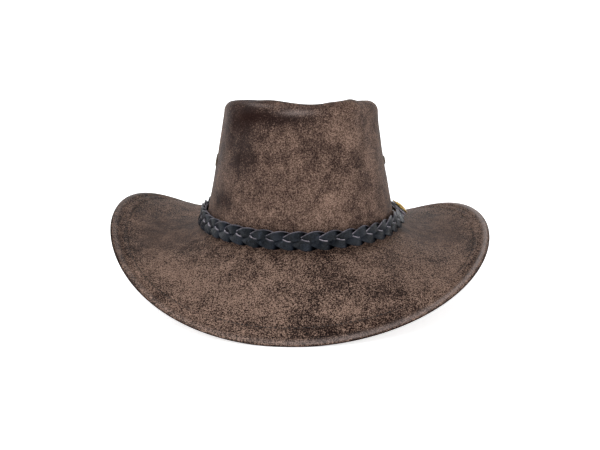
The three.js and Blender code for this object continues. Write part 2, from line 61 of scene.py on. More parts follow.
CROWN_BASE = (92.0, 107.0)  # half width and half length at the brim
CROWN_TOP = (71.8, 84.0)  # and at the shoulder
FLARE_POWER = 1.15
BASE_ROUNDNESS, TOP_ROUNDNESS = 2.0, 2.4
CROWN_LEATHER = 1.8
RIM_HEIGHT = 1.2
SHOULDER_RADIUS = 9.5
RIDGE_HEIGHT = 118.3
FRONT_SLOPE, BACK_SLOPE, SIDE_SLOPE = 0.13, 0.12, 0.012
CREASE_OFFSET, CREASE_HALF_WIDTH = 5.0, 44.0
CREASE_DEPTH, CREASE_FRONT_DEPTH = 24.0, 4.3
CREASE_FRONT_Y, CREASE_DEEP_Y, CREASE_BACK_Y, CREASE_FADING = -80.0, -34.0, 70.0, 0.75
PINCH_ANGLE, PINCH_SPREAD, PINCH_DEPTH, PINCH_FROM = 50.0, 12.0, 3.0, 0.35

BRIM_JOINT = (91.0, 106.0)
BRIM_EDGE_HALF_WIDTH, BRIM_EDGE_FRONT, BRIM_EDGE_BACK = 178.4, 174.5, 184.8
EDGE_WAVES = (-25.9, -8.8, -31.2, 9.0, -1.2)  # height of the edge, a cosine series of the angle
EDGE_LEAN, EDGE_TWIST = -2.6, 6.1
FRONT_ARCH, SIDE_SAG = 5.0, 11.0
TOP_LEATHER, PLY_GAP, UNDER_LEATHER, FLAP_GAP, FLAP_LEATHER = 1.5, 0.35, 1.2, 0.6, 1.1
COLLAR_LEATHER, COLLAR_HEIGHT, COLLAR_GAP = 1.4, 11.0, 0.3
HEM_WIDTH, FLAP_BEYOND = 12.0, 1.5  # stitch line to wire, and how far the flap goes past the stitches
FLAP_TOP = TOP_LEATHER + PLY_GAP + UNDER_LEATHER + FLAP_GAP  # depths below the upper face
FLAP_BOTTOM = FLAP_TOP + FLAP_LEATHER
BEAD_RADIUS, WIRE_ROOM, WIRE_DEPTH = 2.6, 1.3, 2.6
FERRULE_ANGLE = math.pi - 5 * FACET
FERRULE_SWELL, FERRULE_SWELL_ANGLE = 1.5, 0.087

SWEATBAND_HEIGHT, SWEATBAND_BOTTOM, SWEATBAND_LEATHER = 34.0, -1.4, 1.3
SEAM_TAB_HEIGHTS, SEAM_TAB_THICKNESS, SEAM_TAB_HALF_ANGLE = (3.0, 30.0), 1.0, 0.1122
REED_RADIUS, REED_DROP = 0.9, 0.3

EYELET_HEIGHT, EYELET_BARREL, EYELET_BORE, EYELET_FLANGE = 63.0, 2.6, 1.9, 4.3
EYELET_HOLE, EYELET_REACH = 2.9, 2.2  # the barrel's reach past the crown's inner face
EYELET_SEAT, EYELET_EDGE, EYELET_DOME = 0.25, 0.3, 0.95
WASHER_RADIUS, WASHER_SEAT, WASHER_THICKNESS = 4.5, 0.7, 0.6
EYELETS = {
    "left_front": math.pi / 2 - FACET,
    "left_rear": math.pi / 2 + FACET,
    "right_front": -math.pi / 2 + FACET,
    "right_rear": -math.pi / 2 - FACET,
}

BAND_OVAL = (95.0, 110.3)
BAND_HEIGHT, BAND_LEAN = 10.8, 15.0
BAND_END_LEAN, BAND_END_REACH, BAND_END_OUTWARD, BAND_END_GAP = 34.0, 40.0, 1.2, 1.2
BRAID_PERIODS = 13
LACE_SWING, LACE_HALF_WIDTH, LACE_THICKNESS = 4.3, 4.1, 1.15
LACE_WEAVE, LACE_SHARP, LACE_ROLL, LACE_TILT = 1.55, 0.1, 0.24, 0.1
LACE_LAG = math.radians(20)  # how late a lace goes under, which makes the lobes long
LACE_SUNK, LACE_RISE = 1.2, 2.8  # the depth that counts as sunk, and the rise from it to the crests, which set the painted shade of sunk parts
LACE_PRESSED, LACE_PRESSED_FROM, LACE_PRESSED_TO = 0.25, 15.0, 140.0
STUD_ANGLE = math.radians(94.0)
STUD_RADIUS, STUD_RIM, STUD_DOME, STUD_RUBBED = 9.5, (0.75, 0.7), 2.15, 2.2
STUD_SEAT = 0.3  # the cap and the screw's head lie this far off the tabs
POST_RADIUS, POST_BORE = 2.0, 1.25
SCREW_RADIUS, SCREW_HEAD, SCREW_HEAD_THICKNESS = 0.9, 4.4, 1.2
TAB_LENGTH, TAB_WIDTH, TAB_THICKNESS, TAB_GAP = 26.0, 14.0, 1.8, 0.15
TAB_HOLE, TAB_SQUARENESS = 2.35, 4.5

# The middle of the oval where crown and brim meet, in the frame, in metres
crown_low, crown_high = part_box("crown")
JOINT_CENTRE = np.array(
    [(crown_low.x + crown_high.x) / 2, (crown_low.y + crown_high.y) / 2, crown_low.z - RIM_HEIGHT * MM]
)
STANDING = -JOINT_CENTRE[2] / MM  # height of the surface that the hat stands on

# ---- Numeric helpers ----


def lerp(a, b, t):
    return a + (b - a) * t


def smoothstep(x, low, high):
    t = np.clip((x - low) / (high - low), 0, 1)
    return t * t * (3 - 2 * t)


def hump(x, half_width):
    return np.exp(-((x / half_width) ** 2))


def unit(v):
    return v / np.maximum(np.linalg.norm(v, axis=-1, keepdims=True), 1e-12)


def angle_at(p):
    return np.arctan2(p[..., 0], -p[..., 1])


def length_along(line):
    """Distance of each point of a line from its start."""
    return np.concatenate([[0], np.cumsum(np.linalg.norm(np.diff(line, axis=0), axis=1))])


def points(x, y, z):
    return np.stack(np.broadcast_arrays(x, y, z), axis=-1).astype(float)


def ripple(p, scale, seed):
    """Smooth seeded waviness of the places p, about -1 to 1, with features about scale across."""
    draw = np.random.default_rng(seed)
    total = np.zeros(p.shape[:-1])
    for _ in range(7):
        direction = unit(draw.normal(size=3))
        length = scale * draw.uniform(0.8, 1.9)
        total += np.sin((p @ direction) * 2 * math.pi / length + draw.uniform(0, 6.28))
    return total / 3.2


# Slow unevenness of the leather: how high the swells are, their size across, and the seed
CROWN_SWELLS = ((0.55, 62, 3), (0.22, 24, 4))
BRIM_SWELLS = ((0.5, 75, 11), (0.2, 28, 12))


def swell(p, swells):
    return sum(height * ripple(p, size, seed) for height, size, seed in swells)


# ---- Crown surface ----


def top_height(x, y):
    """Height of the top of the crown: a sloping ridge with the crease sunk into it."""
    slope = np.where(y < 0, FRONT_SLOPE, BACK_SLOPE)
    across = np.minimum(1, np.abs(x - CREASE_OFFSET) / CREASE_HALF_WIDTH)
    deepening = smoothstep(y, CREASE_FRONT_Y, CREASE_DEEP_Y)
    ending = 1 - CREASE_FADING * smoothstep(y, 0, CREASE_BACK_Y)
    depth = lerp(CREASE_FRONT_DEPTH, CREASE_DEPTH, deepening) * ending
    ridge = RIDGE_HEIGHT - slope * y - SIDE_SLOPE * x
    return ridge - depth * np.cos(across * math.pi / 2) ** 2


def crown_plan(angle, t, inset=0.0):
    """The oval of the wall at t from brim (0) to shoulder (1), with the two front pinches."""
    flare = np.maximum(0, 1 - t) ** FLARE_POWER
    half_width = lerp(CROWN_TOP[0], CROWN_BASE[0], flare) - inset
    half_length = lerp(CROWN_TOP[1], CROWN_BASE[1], flare) - inset
    s, c = np.sin(angle), np.cos(angle)
    power = lerp(BASE_ROUNDNESS, TOP_ROUNDNESS, t)
    roundness = (np.abs(s) ** power + np.abs(c) ** power) ** (-1 / power)
    from_front = np.abs((angle + math.pi) % (2 * math.pi) - math.pi)
    off = from_front - math.radians(PINCH_ANGLE)
    pinch = PINCH_DEPTH * smoothstep(t, PINCH_FROM, 1) * hump(off, math.radians(PINCH_SPREAD))
    scale = roundness * (1 - pinch / half_length)
    return half_width * s * scale, -half_length * c * scale


def shoulder_height(angle):
    return top_height(*crown_plan(angle, 1.0)) - SHOULDER_RADIUS


def wall_point(angle, height, inset=0.0):
    angle, height = np.broadcast_arrays(angle, height)
    x, y = crown_plan(angle, height / shoulder_height(angle), inset)
    return points(x, y, height)


WALL_ROWS, SHOULDER_ROWS, TOP_ROWS = 60, 14, 44


def crown_skin(angle, leather):
    """Rows of one face of the crown, from its rim to the middle of its top: (rows, columns, 3)."""
    rise = shoulder_height(angle) - RIM_HEIGHT
    rows = [wall_point(angle, RIM_HEIGHT + t * rise, leather) for t in np.linspace(0, 1, WALL_ROWS)]
    radius = SHOULDER_RADIUS - leather
    for turn in np.linspace(0, math.pi / 2, SHOULDER_ROWS + 1)[1:]:
        x, y = crown_plan(angle, 1.0, leather + radius * (1 - math.cos(turn)))
        rows.append(points(x, y, shoulder_height(angle) + radius * math.sin(turn)))
    inner_x, inner_y = crown_plan(angle, 1.0, SHOULDER_RADIUS)
    edge = shoulder_height(angle) + SHOULDER_RADIUS - top_height(inner_x, inner_y)
    for scale in np.linspace(1, 0, TOP_ROWS + 1)[1:]:
        x, y = inner_x * scale, inner_y * scale
        rows.append(points(x, y, top_height(x, y) + edge * scale**6 - leather))
    return np.array(rows)


# ---- Wear, with painted highlights and shade ----

# Marks in the leather: degrees round the hat, place up the crown in millimetres or as a fraction
# across the brim, half width and half height of the mark, and how pale (or dark) it is
CROWN_MARKS = {
    "dark_front_corner": (-45, 105, 20, 20, -0.9),
    # The next mark is a painted shade: the crown is darkened in the dent under the front lip
    "shade_under_lip": (-20, 115, 25, 8, -0.6),
    "dark_below_corner": (-40, 75, 10, 10, -0.6),
    "dark_foot": (-55, 35, 10, 10, -0.7),
    "soft_front": (5, 85, 10, 10, -0.3),
    "pale_left_front": (20, 100, 15, 10, 0.3),
    "pale_foot": (20, 45, 20, 15, 0.2),
}
BRIM_MARKS = {
    "dark_by_band": (-50, 0.2, 15, 0.1, -0.5),
    "dark_fold": (10, 0.35, 10, 0.25, -0.5),
    "dark_front_edge": (5, 0.85, 15, 0.1, -0.65),
    "dark_left_edge": (20, 0.9, 10, 0.1, -0.7),
    "dark_left_front": (30, 0.65, 10, 0.1, -0.55),
    "dark_right_edge": (-80, 0.95, 10, 0.1, -0.5),
    "dark_rear_edge": (-110, 0.95, 15, 0.1, -0.6),
    "pale_right": (-55, 0.6, 15, 0.15, 0.75),
    "pale_right_front": (-25, 0.6, 15, 0.15, 0.45),
    "pale_left": (60, 0.8, 10, 0.1, 0.5),
    "pale_left_front": (15, 0.7, 5, 0.15, 0.35),
    "pale_left_side": (45, 0.6, 10, 0.2, 0.4),
}

# Small folds of the crown: the same places, and how far they stand out in millimetres
CROWN_FOLDS = {
    "front_dent": (-25, 115, 10, 5, -0.7),
    "front_lip": (-10, 120, 10, 2.5, 0.9),
    "front_hollow": (-5, 110, 15, 3, -0.6),
    "left_bump": (35, 125, 6, 6, 1.2),
    "left_crease": (35, 105, 2.5, 15, -0.7),
    "left_crease_front": (30, 100, 2, 10, -0.4),
    "right_crease": (-50, 95, 3, 15, -0.5),
}

# Painted highlights on the crown, where the leather is also made glossier: the same places, and how much
CROWN_HIGHLIGHTS = {
    "front_lip": (-5, 119, 10, 2.5, 0.9),
    "right_rim": (-30, 124, 12, 1.5, 0.6),
}


def on_wall(p):
    """One on the wall of the crown and nothing on its top, where the marks would crowd together."""
    return smoothstep(np.hypot(p[..., 0] / CROWN_TOP[0], p[..., 1] / CROWN_TOP[1]), 0.7, 0.9)


def marks_at(marks, angle, spot):
    """The marks added up at angles (radians) and places."""
    total = np.zeros(np.broadcast(angle, spot).shape)
    for turn, level, half_width, half_height, strength in marks.values():
        off = (np.degrees(angle) - turn + 180) % 360 - 180
        total += strength * hump(off, half_width) * hump(spot - level, half_height)
    return total


# ---- Brim surface ----


def brim_face(angle, across):
    """The plain upper face of the brim, from the joint (0) to the edge (1)."""
    s, c = np.sin(angle), np.cos(angle)
    wave = sum(height * np.cos(n * angle) for n, height in enumerate(EDGE_WAVES))
    edge = wave + EDGE_LEAN * s + EDGE_TWIST * np.sin(2 * angle)
    bow = lerp(FRONT_ARCH, -SIDE_SAG, s * s) * 4 * across * (1 - across)
    edge_length = np.where(c > 0, BRIM_EDGE_FRONT, BRIM_EDGE_BACK)
    x = lerp(BRIM_JOINT[0], BRIM_EDGE_HALF_WIDTH, across) * s
    y = -lerp(BRIM_JOINT[1], edge_length, across) * c
    return points(x, y, edge * across + bow)


def brim_frame(angle, across):
    """Directions along the brim, away from the crown, and straight up out of it."""
    small = 1e-3
    outward = unit(brim_face(angle, across + small) - brim_face(angle, across - small))
    along = brim_face(angle + small, across) - brim_face(angle - small, across)
    return outward, unit(np.cross(outward, along))


def brim_width(angle):
    return np.linalg.norm(brim_face(angle, 0.0) - brim_face(angle, 1.0), axis=-1)


def hem_point(angle, inside, depth):
    """A place a distance inside the edge and a depth below the upper face."""
    across = 1 - inside / brim_width(angle)
    return brim_face(angle, across) - brim_frame(angle, across)[1] * np.asarray(depth)[..., None]


def bead_point(angle, radius, turn):
    """A place round the wire in the edge; turn 0 points outward and grows upward."""
    outward, up = brim_frame(angle, 1.0)
    reach = np.asarray(radius)[..., None]
    middle = hem_point(angle, 0.0, WIRE_DEPTH)
    return middle + outward * reach * math.cos(turn) + up * reach * math.sin(turn)


def tunnel_radius(angle):
    """Radius of the tunnel round the wire, wider at the ferrule."""
    return WIRE_ROOM + FERRULE_SWELL * hump(angle - FERRULE_ANGLE, FERRULE_SWELL_ANGLE)


# ---- Mesh helpers ----


def to_frame(p):
    return p * MM + JOINT_CENTRE


def new_object(name, vertices, faces):
    mesh = bpy.data.meshes.new(name)
    mesh.from_pydata([tuple(v) for v in vertices], [], faces)
    mesh.validate()
    mesh.polygons.foreach_set("use_smooth", [True] * len(mesh.polygons))
    mesh.update()
    obj = bpy.data.objects.new(name, mesh)
    bpy.context.scene.collection.objects.link(obj)
    return obj


def set_attribute(obj, name, values):
    """Gives each corner of a mesh a number that its material reads."""
    attribute = obj.data.attributes.new(name, "FLOAT", "POINT")
    attribute.data.foreach_set("value", np.asarray(values, np.float32).ravel())


def grid_faces(rows, columns, close_rows, close_columns, start=0):
    """Quads over a grid of rows by columns, wrapping where asked."""
    r = np.arange(rows if close_rows else rows - 1)
    c = np.arange(columns if close_columns else columns - 1)
    r0, c0 = np.meshgrid(r, c, indexing="ij")
    r1, c1 = (r0 + 1) % rows, (c0 + 1) % columns
    quads = np.stack([r0 * columns + c0, r0 * columns + c1, r1 * columns + c1, r1 * columns + c0], -1)
    return (quads.reshape(-1, 4) + start).tolist()


def hoop(name, rows, material):
    """A closed ring: (rows, columns, 3) in millimetres from the joint centre, columns round the hat."""
    vertices = to_frame(np.array(rows)).reshape(-1, 3)
    obj = new_object(name, vertices, grid_faces(len(rows), len(rows[0]), True, True))
    face_outward(obj)
    paint(obj, material)
    return obj


def vectors(items, field):
    """A field of a mesh's corners or faces, as rows of three."""
    values = np.zeros(len(items) * 3)
    items.foreach_get(field, values)
    return values.reshape(-1, 3)


def face_outward(obj):
    """Turns the faces of a closed mesh so that its volume is positive."""
    mesh = obj.data
    mesh.calc_loop_triangles()
    corners = vectors(mesh.vertices, "co")
    a, b, c = corners[[t.vertices[:] for t in mesh.loop_triangles]].swapaxes(0, 1)
    if (a * np.cross(b, c)).sum() < 0:
        mesh.flip_normals()


def merge_poles(obj):
    """Joins corners that lie in one place, such as those at the middle of the top."""
    bm = bmesh.new()
    bm.from_mesh(obj.data)
    bmesh.ops.remove_doubles(bm, verts=bm.verts, dist=1e-6)
    bmesh.ops.dissolve_degenerate(bm, edges=bm.edges, dist=1e-7)
    bmesh.ops.recalc_face_normals(bm, faces=bm.faces)
    bm.to_mesh(obj.data)
    bm.free()


# ---- Materials ----


class Nodes:
    """A short way to write a shader's node tree."""

    def __init__(self, name):
        self.material = bpy.data.materials.new(name)
        self.material.use_nodes = True
        self.tree = self.material.node_tree
        self.tree.nodes.clear()
        self.shader = self.node("BsdfPrincipled")
        self.node("OutputMaterial", Surface=self.shader.outputs[0])
        self.coords = self.node("TexCoord").outputs["Object"]

    def fill(self, node, inputs):
        """Sets or links a node's inputs; an underscore in a name stands for a space."""
        for key, value in inputs.items():
            self.set(node.inputs[key.replace("_", " ")], value)

    def set(self, socket, value):
        if isinstance(value, bpy.types.NodeSocket):
            self.tree.links.new(value, socket)
        else:
            socket.default_value = value

    def node(self, kind, **inputs):
        node = self.tree.nodes.new("ShaderNode" + kind)
        self.fill(node, inputs)
        return node

    def noise(self, scale, detail=2.0, rough=0.5, distortion=0.0):
        values = {"Scale": scale, "Detail": detail, "Roughness": rough, "Distortion": distortion}
        return self.node("TexNoise", Vector=self.coords, **values).outputs[0]

    def cells(self, scale):
        node = self.node("TexVoronoi", Vector=self.coords, Scale=scale)
        node.feature = "DISTANCE_TO_EDGE"
        return node.outputs["Distance"]

    def math(self, operation, *values, clamp=False):
        node = self.node("Math")
        node.operation = operation
        node.use_clamp = clamp
        for socket, value in zip(node.inputs, values):
            self.set(socket, value)
        return node.outputs[0]

    def add(self, a, b):
        return self.math("ADD", a, b)

    def times(self, a, b):
        return self.math("MULTIPLY", a, b)

    def minus(self, a, b):
        return self.math("SUBTRACT", a, b)

    def span(self, value, low, high, to_low=0.0, to_high=1.0):
        node = self.node("MapRange", Value=value, From_Min=low, From_Max=high, To_Min=to_low, To_Max=to_high)
        node.interpolation_type = "SMOOTHSTEP"
        return node.outputs[0]

    def mix(self, factor, a, b, blend="MIX"):
        node = self.node("Mix")
        node.data_type = "RGBA"
        node.blend_type = blend
        for index, value in ((0, factor), (6, a), (7, b)):
            self.set(node.inputs[index], value)
        return node.outputs[2]

    def attribute(self, name):
        node = self.node("Attribute")
        node.attribute_name = name
        return node.outputs["Fac"]

    def bump(self, height, strength, distance, **under):
        return self.node("Bump", Height=height, Strength=strength, Distance=distance, **under).outputs[0]

    def finish(self, **values):
        self.fill(self.shader, values)
        return self.material


def srgb(r, g, b):
    """A colour given in display values from 0 to 255, as a linear RGBA tuple."""
    linear = [v / 255 / 12.92 if v <= 10 else ((v / 255 + 0.055) / 1.055) ** 2.4 for v in (r, g, b)]
    return (*linear, 1.0)


def hat_leather():
    """Waxed two-tone leather: a pale worn grain over a dark brown base, in drifting patches.

    The skins carry three attributes: calm, where the grain is evener; stain, paler or darker, which also
    holds painted shade on the bead's lower side and under the crown's front lip; and polish, a painted
    highlight.
    """
    n = Nodes("distressed_leather")
    calm = n.attribute("calm")
    stain = n.attribute("stain")
    polish_highlight = n.attribute("polish_highlight")
    fine = n.noise(1500, 1.0, 0.5, 0.2)
    worm = n.noise(820, 1.0, 0.5, 0.5)
    grain = n.add(n.times(fine, 0.52), n.times(worm, 0.48))
    patches = n.noise(34, 4.0, 0.6, 0.6)
    clouds = n.noise(95, 3.0, 0.6, 0.4)
    drift = n.add(n.times(patches, 0.55), n.times(clouds, 0.45))
    speckle = n.times(n.minus(grain, 0.5), n.minus(7.4, n.times(calm, 5.6)))
    drifting = n.times(n.minus(drift, 0.5), n.minus(3.5, n.times(calm, 1.9)))
    level = n.add(n.add(0.46, speckle), drifting)
    level = n.add(level, n.times(stain, 0.75))
    level = n.minus(level, n.times(calm, 0.2))
    # Painted highlight where polish is set: a paler grain here, and a pale bluish grey mixed in below
    worn = n.span(n.add(level, n.times(polish_highlight, 0.1)), -0.25, 1.25)
    dark = n.mix(patches, srgb(28, 16, 14), srgb(42, 27, 23))
    pale = n.mix(clouds, srgb(118, 95, 83), srgb(150, 124, 109))
    colour = n.mix(worn, dark, pale)
    # Painted highlight: the colour goes towards a pale bluish grey, and the leather is also made glossier
    colour = n.mix(n.times(polish_highlight, 0.4), colour, srgb(146, 131, 126))
    pit = n.mix(calm, (0.32, 0.3, 0.3, 1.0), (0.84, 0.81, 0.79, 1.0))
    shade = n.mix(n.span(grain, 0.42, 0.58), pit, (1.2, 1.2, 1.2, 1.0))
    colour = n.mix(1.0, colour, shade, "MULTIPLY")
    pore = n.cells(900)
    height = n.add(grain, n.times(n.span(pore, 0.0, 0.25), 0.25))
    normal = n.bump(height, 0.55, 0.0007)
    normal = n.bump(n.noise(95, 2.0, 0.5), 0.18, 0.003, Normal=normal)
    rough = n.minus(n.span(worn, 0.0, 1.0, 0.56, 0.8), n.times(polish_highlight, 0.25))
    # Less specular where the stain is darkest, which takes it off the painted shade on the bead's lower side
    gloss = n.times(n.add(n.times(polish_highlight, 0.2), 0.08), n.span(stain, -1.2, -0.4))
    return n.finish(Base_Color=colour, Roughness=rough, Normal=normal, Specular_IOR_Level=gloss)


def suede(name, dark, pale):
    """The napped flesh side of a leather."""
    n = Nodes(name)
    nap = n.noise(900, 3.0, 0.65, 0.3)
    drift = n.noise(34, 2.0, 0.5, 0.5)
    tone = n.add(n.times(nap, 0.55), n.times(drift, 0.45))
    colour = n.mix(n.span(tone, 0.38, 0.62), dark, pale)
    normal = n.bump(nap, 0.35, 0.0007)
    return n.finish(
        Base_Color=colour,
        Roughness=n.span(nap, 0.3, 0.7, 0.82, 0.95),
        Normal=normal,
        Specular_IOR_Level=0.25,
        Sheen_Weight=0.25,
        Sheen_Roughness=0.5,
    )


def sweat_leather():
    """A fine pebbled leather, a little polished on its high spots."""
    n = Nodes("sweatband_leather")
    pebbles = n.span(n.cells(420), 0.0, 0.45)
    drift = n.noise(70, 3.0, 0.55, 0.4)
    streak = n.noise(260, 3.0, 0.6, 0.8)
    tone = n.add(n.times(drift, 0.6), n.times(streak, 0.4))
    colour = n.mix(n.span(tone, 0.36, 0.66), srgb(44, 32, 26), srgb(68, 50, 40))
    height = n.add(n.times(pebbles, 0.5), streak)
    normal = n.bump(height, 0.3, 0.0006)
    rough = n.span(tone, 0.3, 0.7, 0.42, 0.56)
    return n.finish(Base_Color=colour, Roughness=rough, Normal=normal, Specular_IOR_Level=0.5)


def lace_leather():
    """Black lace leather: cut_edge is where it is raw and grey (left black below, a painted shade), crest
    how far it stands out, painting near-black shade where sunk.
    """
    n = Nodes("lace_leather")
    cut = n.attribute("cut_edge")
    creases = n.noise(300, 3.0, 0.6, 1.2)
    drift = n.noise(90, 2.0, 0.5, 0.3)
    crest_shade = n.attribute("crest_shade")
    face = n.mix(n.span(drift, 0.35, 0.7), srgb(14, 17, 21), srgb(27, 31, 38))
    # Painted highlight: a lighter bluish grey on the crease ridges
    face = n.mix(n.span(creases, 0.54, 0.7, 0.0, 0.4), face, srgb(58, 63, 75))
    # Painted shade: the sunk parts of a lace go near black
    face = n.mix(n.span(crest_shade, 0.15, 0.7), srgb(1, 1, 2), face)
    raw = n.mix(n.span(n.noise(500, 2.0, 0.6), 0.35, 0.65), srgb(118, 112, 122), srgb(176, 168, 176))
    amount = n.times(cut, n.span(n.noise(80, 2.0, 0.6), 0.36, 0.48, 0.4, 1.0))
    colour = n.mix(amount, face, raw)
    normal = n.bump(creases, 0.3, 0.0009)
    normal = n.bump(n.cells(700), 0.15, 0.0003, Normal=normal)
    rough = n.span(creases, 0.35, 0.65, 0.24, 0.4)
    # No specular in the sunk parts, as if shaded, and most on the crests
    gloss = n.span(crest_shade, 0.3, 1.05, 0.0, 0.13)
    return n.finish(Base_Color=colour, Roughness=rough, Normal=normal, Specular_IOR_Level=gloss)


def brass(name, bright, tarnish, rough_low, rough_high):
    """Antique brass: polished where it is rubbed, brown in the hollows."""
    n = Nodes(name)
    stain = n.noise(260, 4.0, 0.6, 0.5)
    scratch = n.noise(1600, 2.0, 0.5, 0.0)
    rubbed = n.attribute("rubbed")
    shade = n.math("SUBTRACT", n.span(stain, 0.4, 0.72), n.times(rubbed, 0.45), clamp=True)
    colour = n.mix(shade, bright, tarnish)
    rough = n.add(n.span(stain, 0.3, 0.7, rough_low, rough_high), n.times(scratch, 0.08))
    normal = n.bump(scratch, 0.06, 0.0003)
    return n.finish(Base_Color=colour, Metallic=1.0, Roughness=rough, Normal=normal)


def mottled(name, noise, dark, pale, rough, bump, metallic=0.0):
    """A plain material with a fine mottle: its noise, two colours, range of roughness and bump."""
    n = Nodes(name)
    mottle = n.noise(*noise)
    return n.finish(
        Base_Color=n.mix(n.span(mottle, 0.35, 0.65), dark, pale),
        Roughness=n.span(mottle, 0.3, 0.7, *rough),
        Normal=n.bump(mottle, bump, 0.0003),
        Metallic=metallic,
    )


LEATHER = hat_leather()
LINING = suede("lining_suede", srgb(44, 34, 30), srgb(70, 55, 47))
CROWN_INSIDE = suede("crown_flesh_side", srgb(70, 54, 45), srgb(104, 84, 70))
SWEAT_LEATHER = sweat_leather()
LACE = lace_leather()
BRASS = brass("antique_brass", srgb(200, 164, 92), srgb(84, 60, 30), 0.14, 0.28)
EYELET_BRASS = brass("aged_brass", srgb(104, 92, 78), srgb(52, 44, 38), 0.36, 0.52)
STEEL = mottled(
    "drawn_steel", (900, 3.0, 0.6), srgb(120, 122, 124), srgb(178, 180, 182), (0.28, 0.45), 0.1, 1.0
)
THREAD = mottled("hem_thread", (1500, 2.0, 0.6, 0.4), srgb(18, 14, 13), srgb(40, 31, 28), (0.5, 0.7), 0.4)
REED = mottled("reed_plastic", (400, 3.0, 0.6, 0.2), srgb(24, 24, 26), srgb(44, 44, 46), (0.45, 0.6), 0.12)


def paint(obj, *materials):
    obj.data.materials.clear()
    for material in materials:
        obj.data.materials.append(material)


def place(obj, body, slot, *nodes):
    """A finished piece rides on its body and stands for its CAD nodes; slot is not used."""
    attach(obj, body)
    if nodes:
        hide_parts(*nodes)


# ---- Crown ----

CROWN_COLUMNS = 480
DEEPEST_FOLD = 1.2  # so that a fold never reaches through the leather
CORE_HEIGHT, CORE_WEIGHTS = 70.0, (0.75, 0.6, 1.0)
CROWN_CALM = (0.8, 0.9)  # how even the grain is on the front and on the sides
crown_angles = np.arange(CROWN_COLUMNS) * 2 * math.pi / CROWN_COLUMNS


def eyelet_axis(angle):
    """Centre on the crown's outer face and outward normal of an eyelet, in the frame."""
    small = 1e-3
    along = wall_point(angle + small, EYELET_HEIGHT) - wall_point(angle - small, EYELET_HEIGHT)
    rise = wall_point(angle, EYELET_HEIGHT + 1) - wall_point(angle, EYELET_HEIGHT - 1)
    return to_frame(wall_point(angle, EYELET_HEIGHT)), unit(np.cross(along, rise))


def surface_normals(rows):
    down = np.gradient(rows, axis=0)
    around = np.roll(rows, -1, axis=1) - np.roll(rows, 1, axis=1)
    normal = np.cross(around, down)
    normal[-1] = (0, 0, 1)
    return unit(normal)


def soften_crown(rows):
    """Hand-blocked unevenness: slow swells on the wall and small folds where the crease starts."""
    normal = surface_normals(rows)
    height = rows[..., 2]
    free = smoothstep(height, 25, 60)
    folds = marks_at(CROWN_FOLDS, angle_at(rows), height) * on_wall(rows)
    moved = np.maximum(swell(rows, CROWN_SWELLS) * free + folds, -DEEPEST_FOLD)
    return rows + normal * moved[..., None]


def build_crown():
    outside = soften_crown(crown_skin(crown_angles, 0.0))
    inside = crown_skin(crown_angles, CROWN_LEATHER)
    rows = np.concatenate([outside[::-1], inside])
    n_rows = len(rows)
    vertices = to_frame(rows).reshape(-1, 3)
    faces = np.array(grid_faces(n_rows, CROWN_COLUMNS, True, True))
    middle = vertices[faces].mean(axis=1)
    keep = np.ones(len(faces), bool)
    for angle in EYELETS.values():
        centre, normal = eyelet_axis(angle)
        along = (middle - centre) @ normal
        away = np.linalg.norm(middle - centre - along[:, None] * normal, axis=1)
        keep &= ~((away < EYELET_HOLE * MM) & (np.abs(along) < 6 * MM))
    # The first and last rows are both the middle of a top, one outside and one inside
    closing = (faces[:, 0] // CROWN_COLUMNS == n_rows - 1) & (faces[:, 2] // CROWN_COLUMNS == 0)
    faces = faces[keep & ~closing]
    obj = new_object("crown_leather", vertices, faces.tolist())
    merge_poles(obj)
    mark_crown(obj)
    return obj


def mark_crown(obj):
    """Gives the crown its wear, with painted shade and painted highlights, and the flesh side of the leather
    to the faces of its inside.
    """
    mesh = obj.data
    local = (vectors(mesh.vertices, "co") - JOINT_CENTRE) / MM
    turn = angle_at(local)
    set_attribute(obj, "calm", lerp(*CROWN_CALM, smoothstep(np.abs(np.sin(turn)), 0.6, 1.0)))
    # Stain marks, including painted shade under the lip, and the painted highlights on the front lip and
    # right rim
    for name, marks in (("stain", CROWN_MARKS), ("polish_highlight", CROWN_HIGHLIGHTS)):
        set_attribute(obj, name, marks_at(marks, turn, local[:, 2]) * on_wall(local))
    # A face of the inside looks back at the core, a point in the middle of the crown
    centres = (vectors(mesh.polygons, "center") - JOINT_CENTRE) / MM
    from_core = (centres - (0, 0, CORE_HEIGHT)) * CORE_WEIGHTS
    inner = (from_core * vectors(mesh.polygons, "normal")).sum(1) < 0
    paint(obj, LEATHER, CROWN_INSIDE)
    mesh.polygons.foreach_set("material_index", inner.astype(int).tolist())


place(build_crown(), "hat", "hat_leather", "crown")


# ---- Brim ----

BRIM_COLUMNS = 560
brim_angles = np.arange(BRIM_COLUMNS) * 2 * math.pi / BRIM_COLUMNS
BRIM_START = 0.012  # where the upper face begins outside the collar, as a fraction across the brim
EDGE_SHADE = 1.05  # how dark the lower side of the bead is painted: a painted shade
EDGE_CALM = 0.5  # how even the grain is on the bead
RIGHT_HIGHLIGHT = 0.35  # how much of the painted highlight on the bead is left on the right side
TUNNEL_MOUTH = 4.0  # where the two faces of the hem part round the wire, inside the edge
SETTLED = 0.5  # leather this close to the standing surface has sunk onto it

STITCH_PITCH, STITCH_LENGTH, STITCH_RADIUS = 4.0, 2.9, 0.34
STITCH_SIDES, STITCH_RINGS = 8, 7
UNDER_STITCHES = HEM_WIDTH - 1.2  # the stitch line's distance from the edge, on the flap

# The hem's cross-section: how deep each part of it lies, its place inside the edge and half width
HEM_SHAPE = {
    "groove": (0.55, HEM_WIDTH, 0.95),
    "pad": (-0.45, 9.0, 2.0),
    "valley": (0.85, 5.0, 1.7),
    "bead": (-0.35, 1.2, 1.9),
}
PUCKER_DEPTH, PUCKER_HALF_WIDTH = 0.12, 3.2


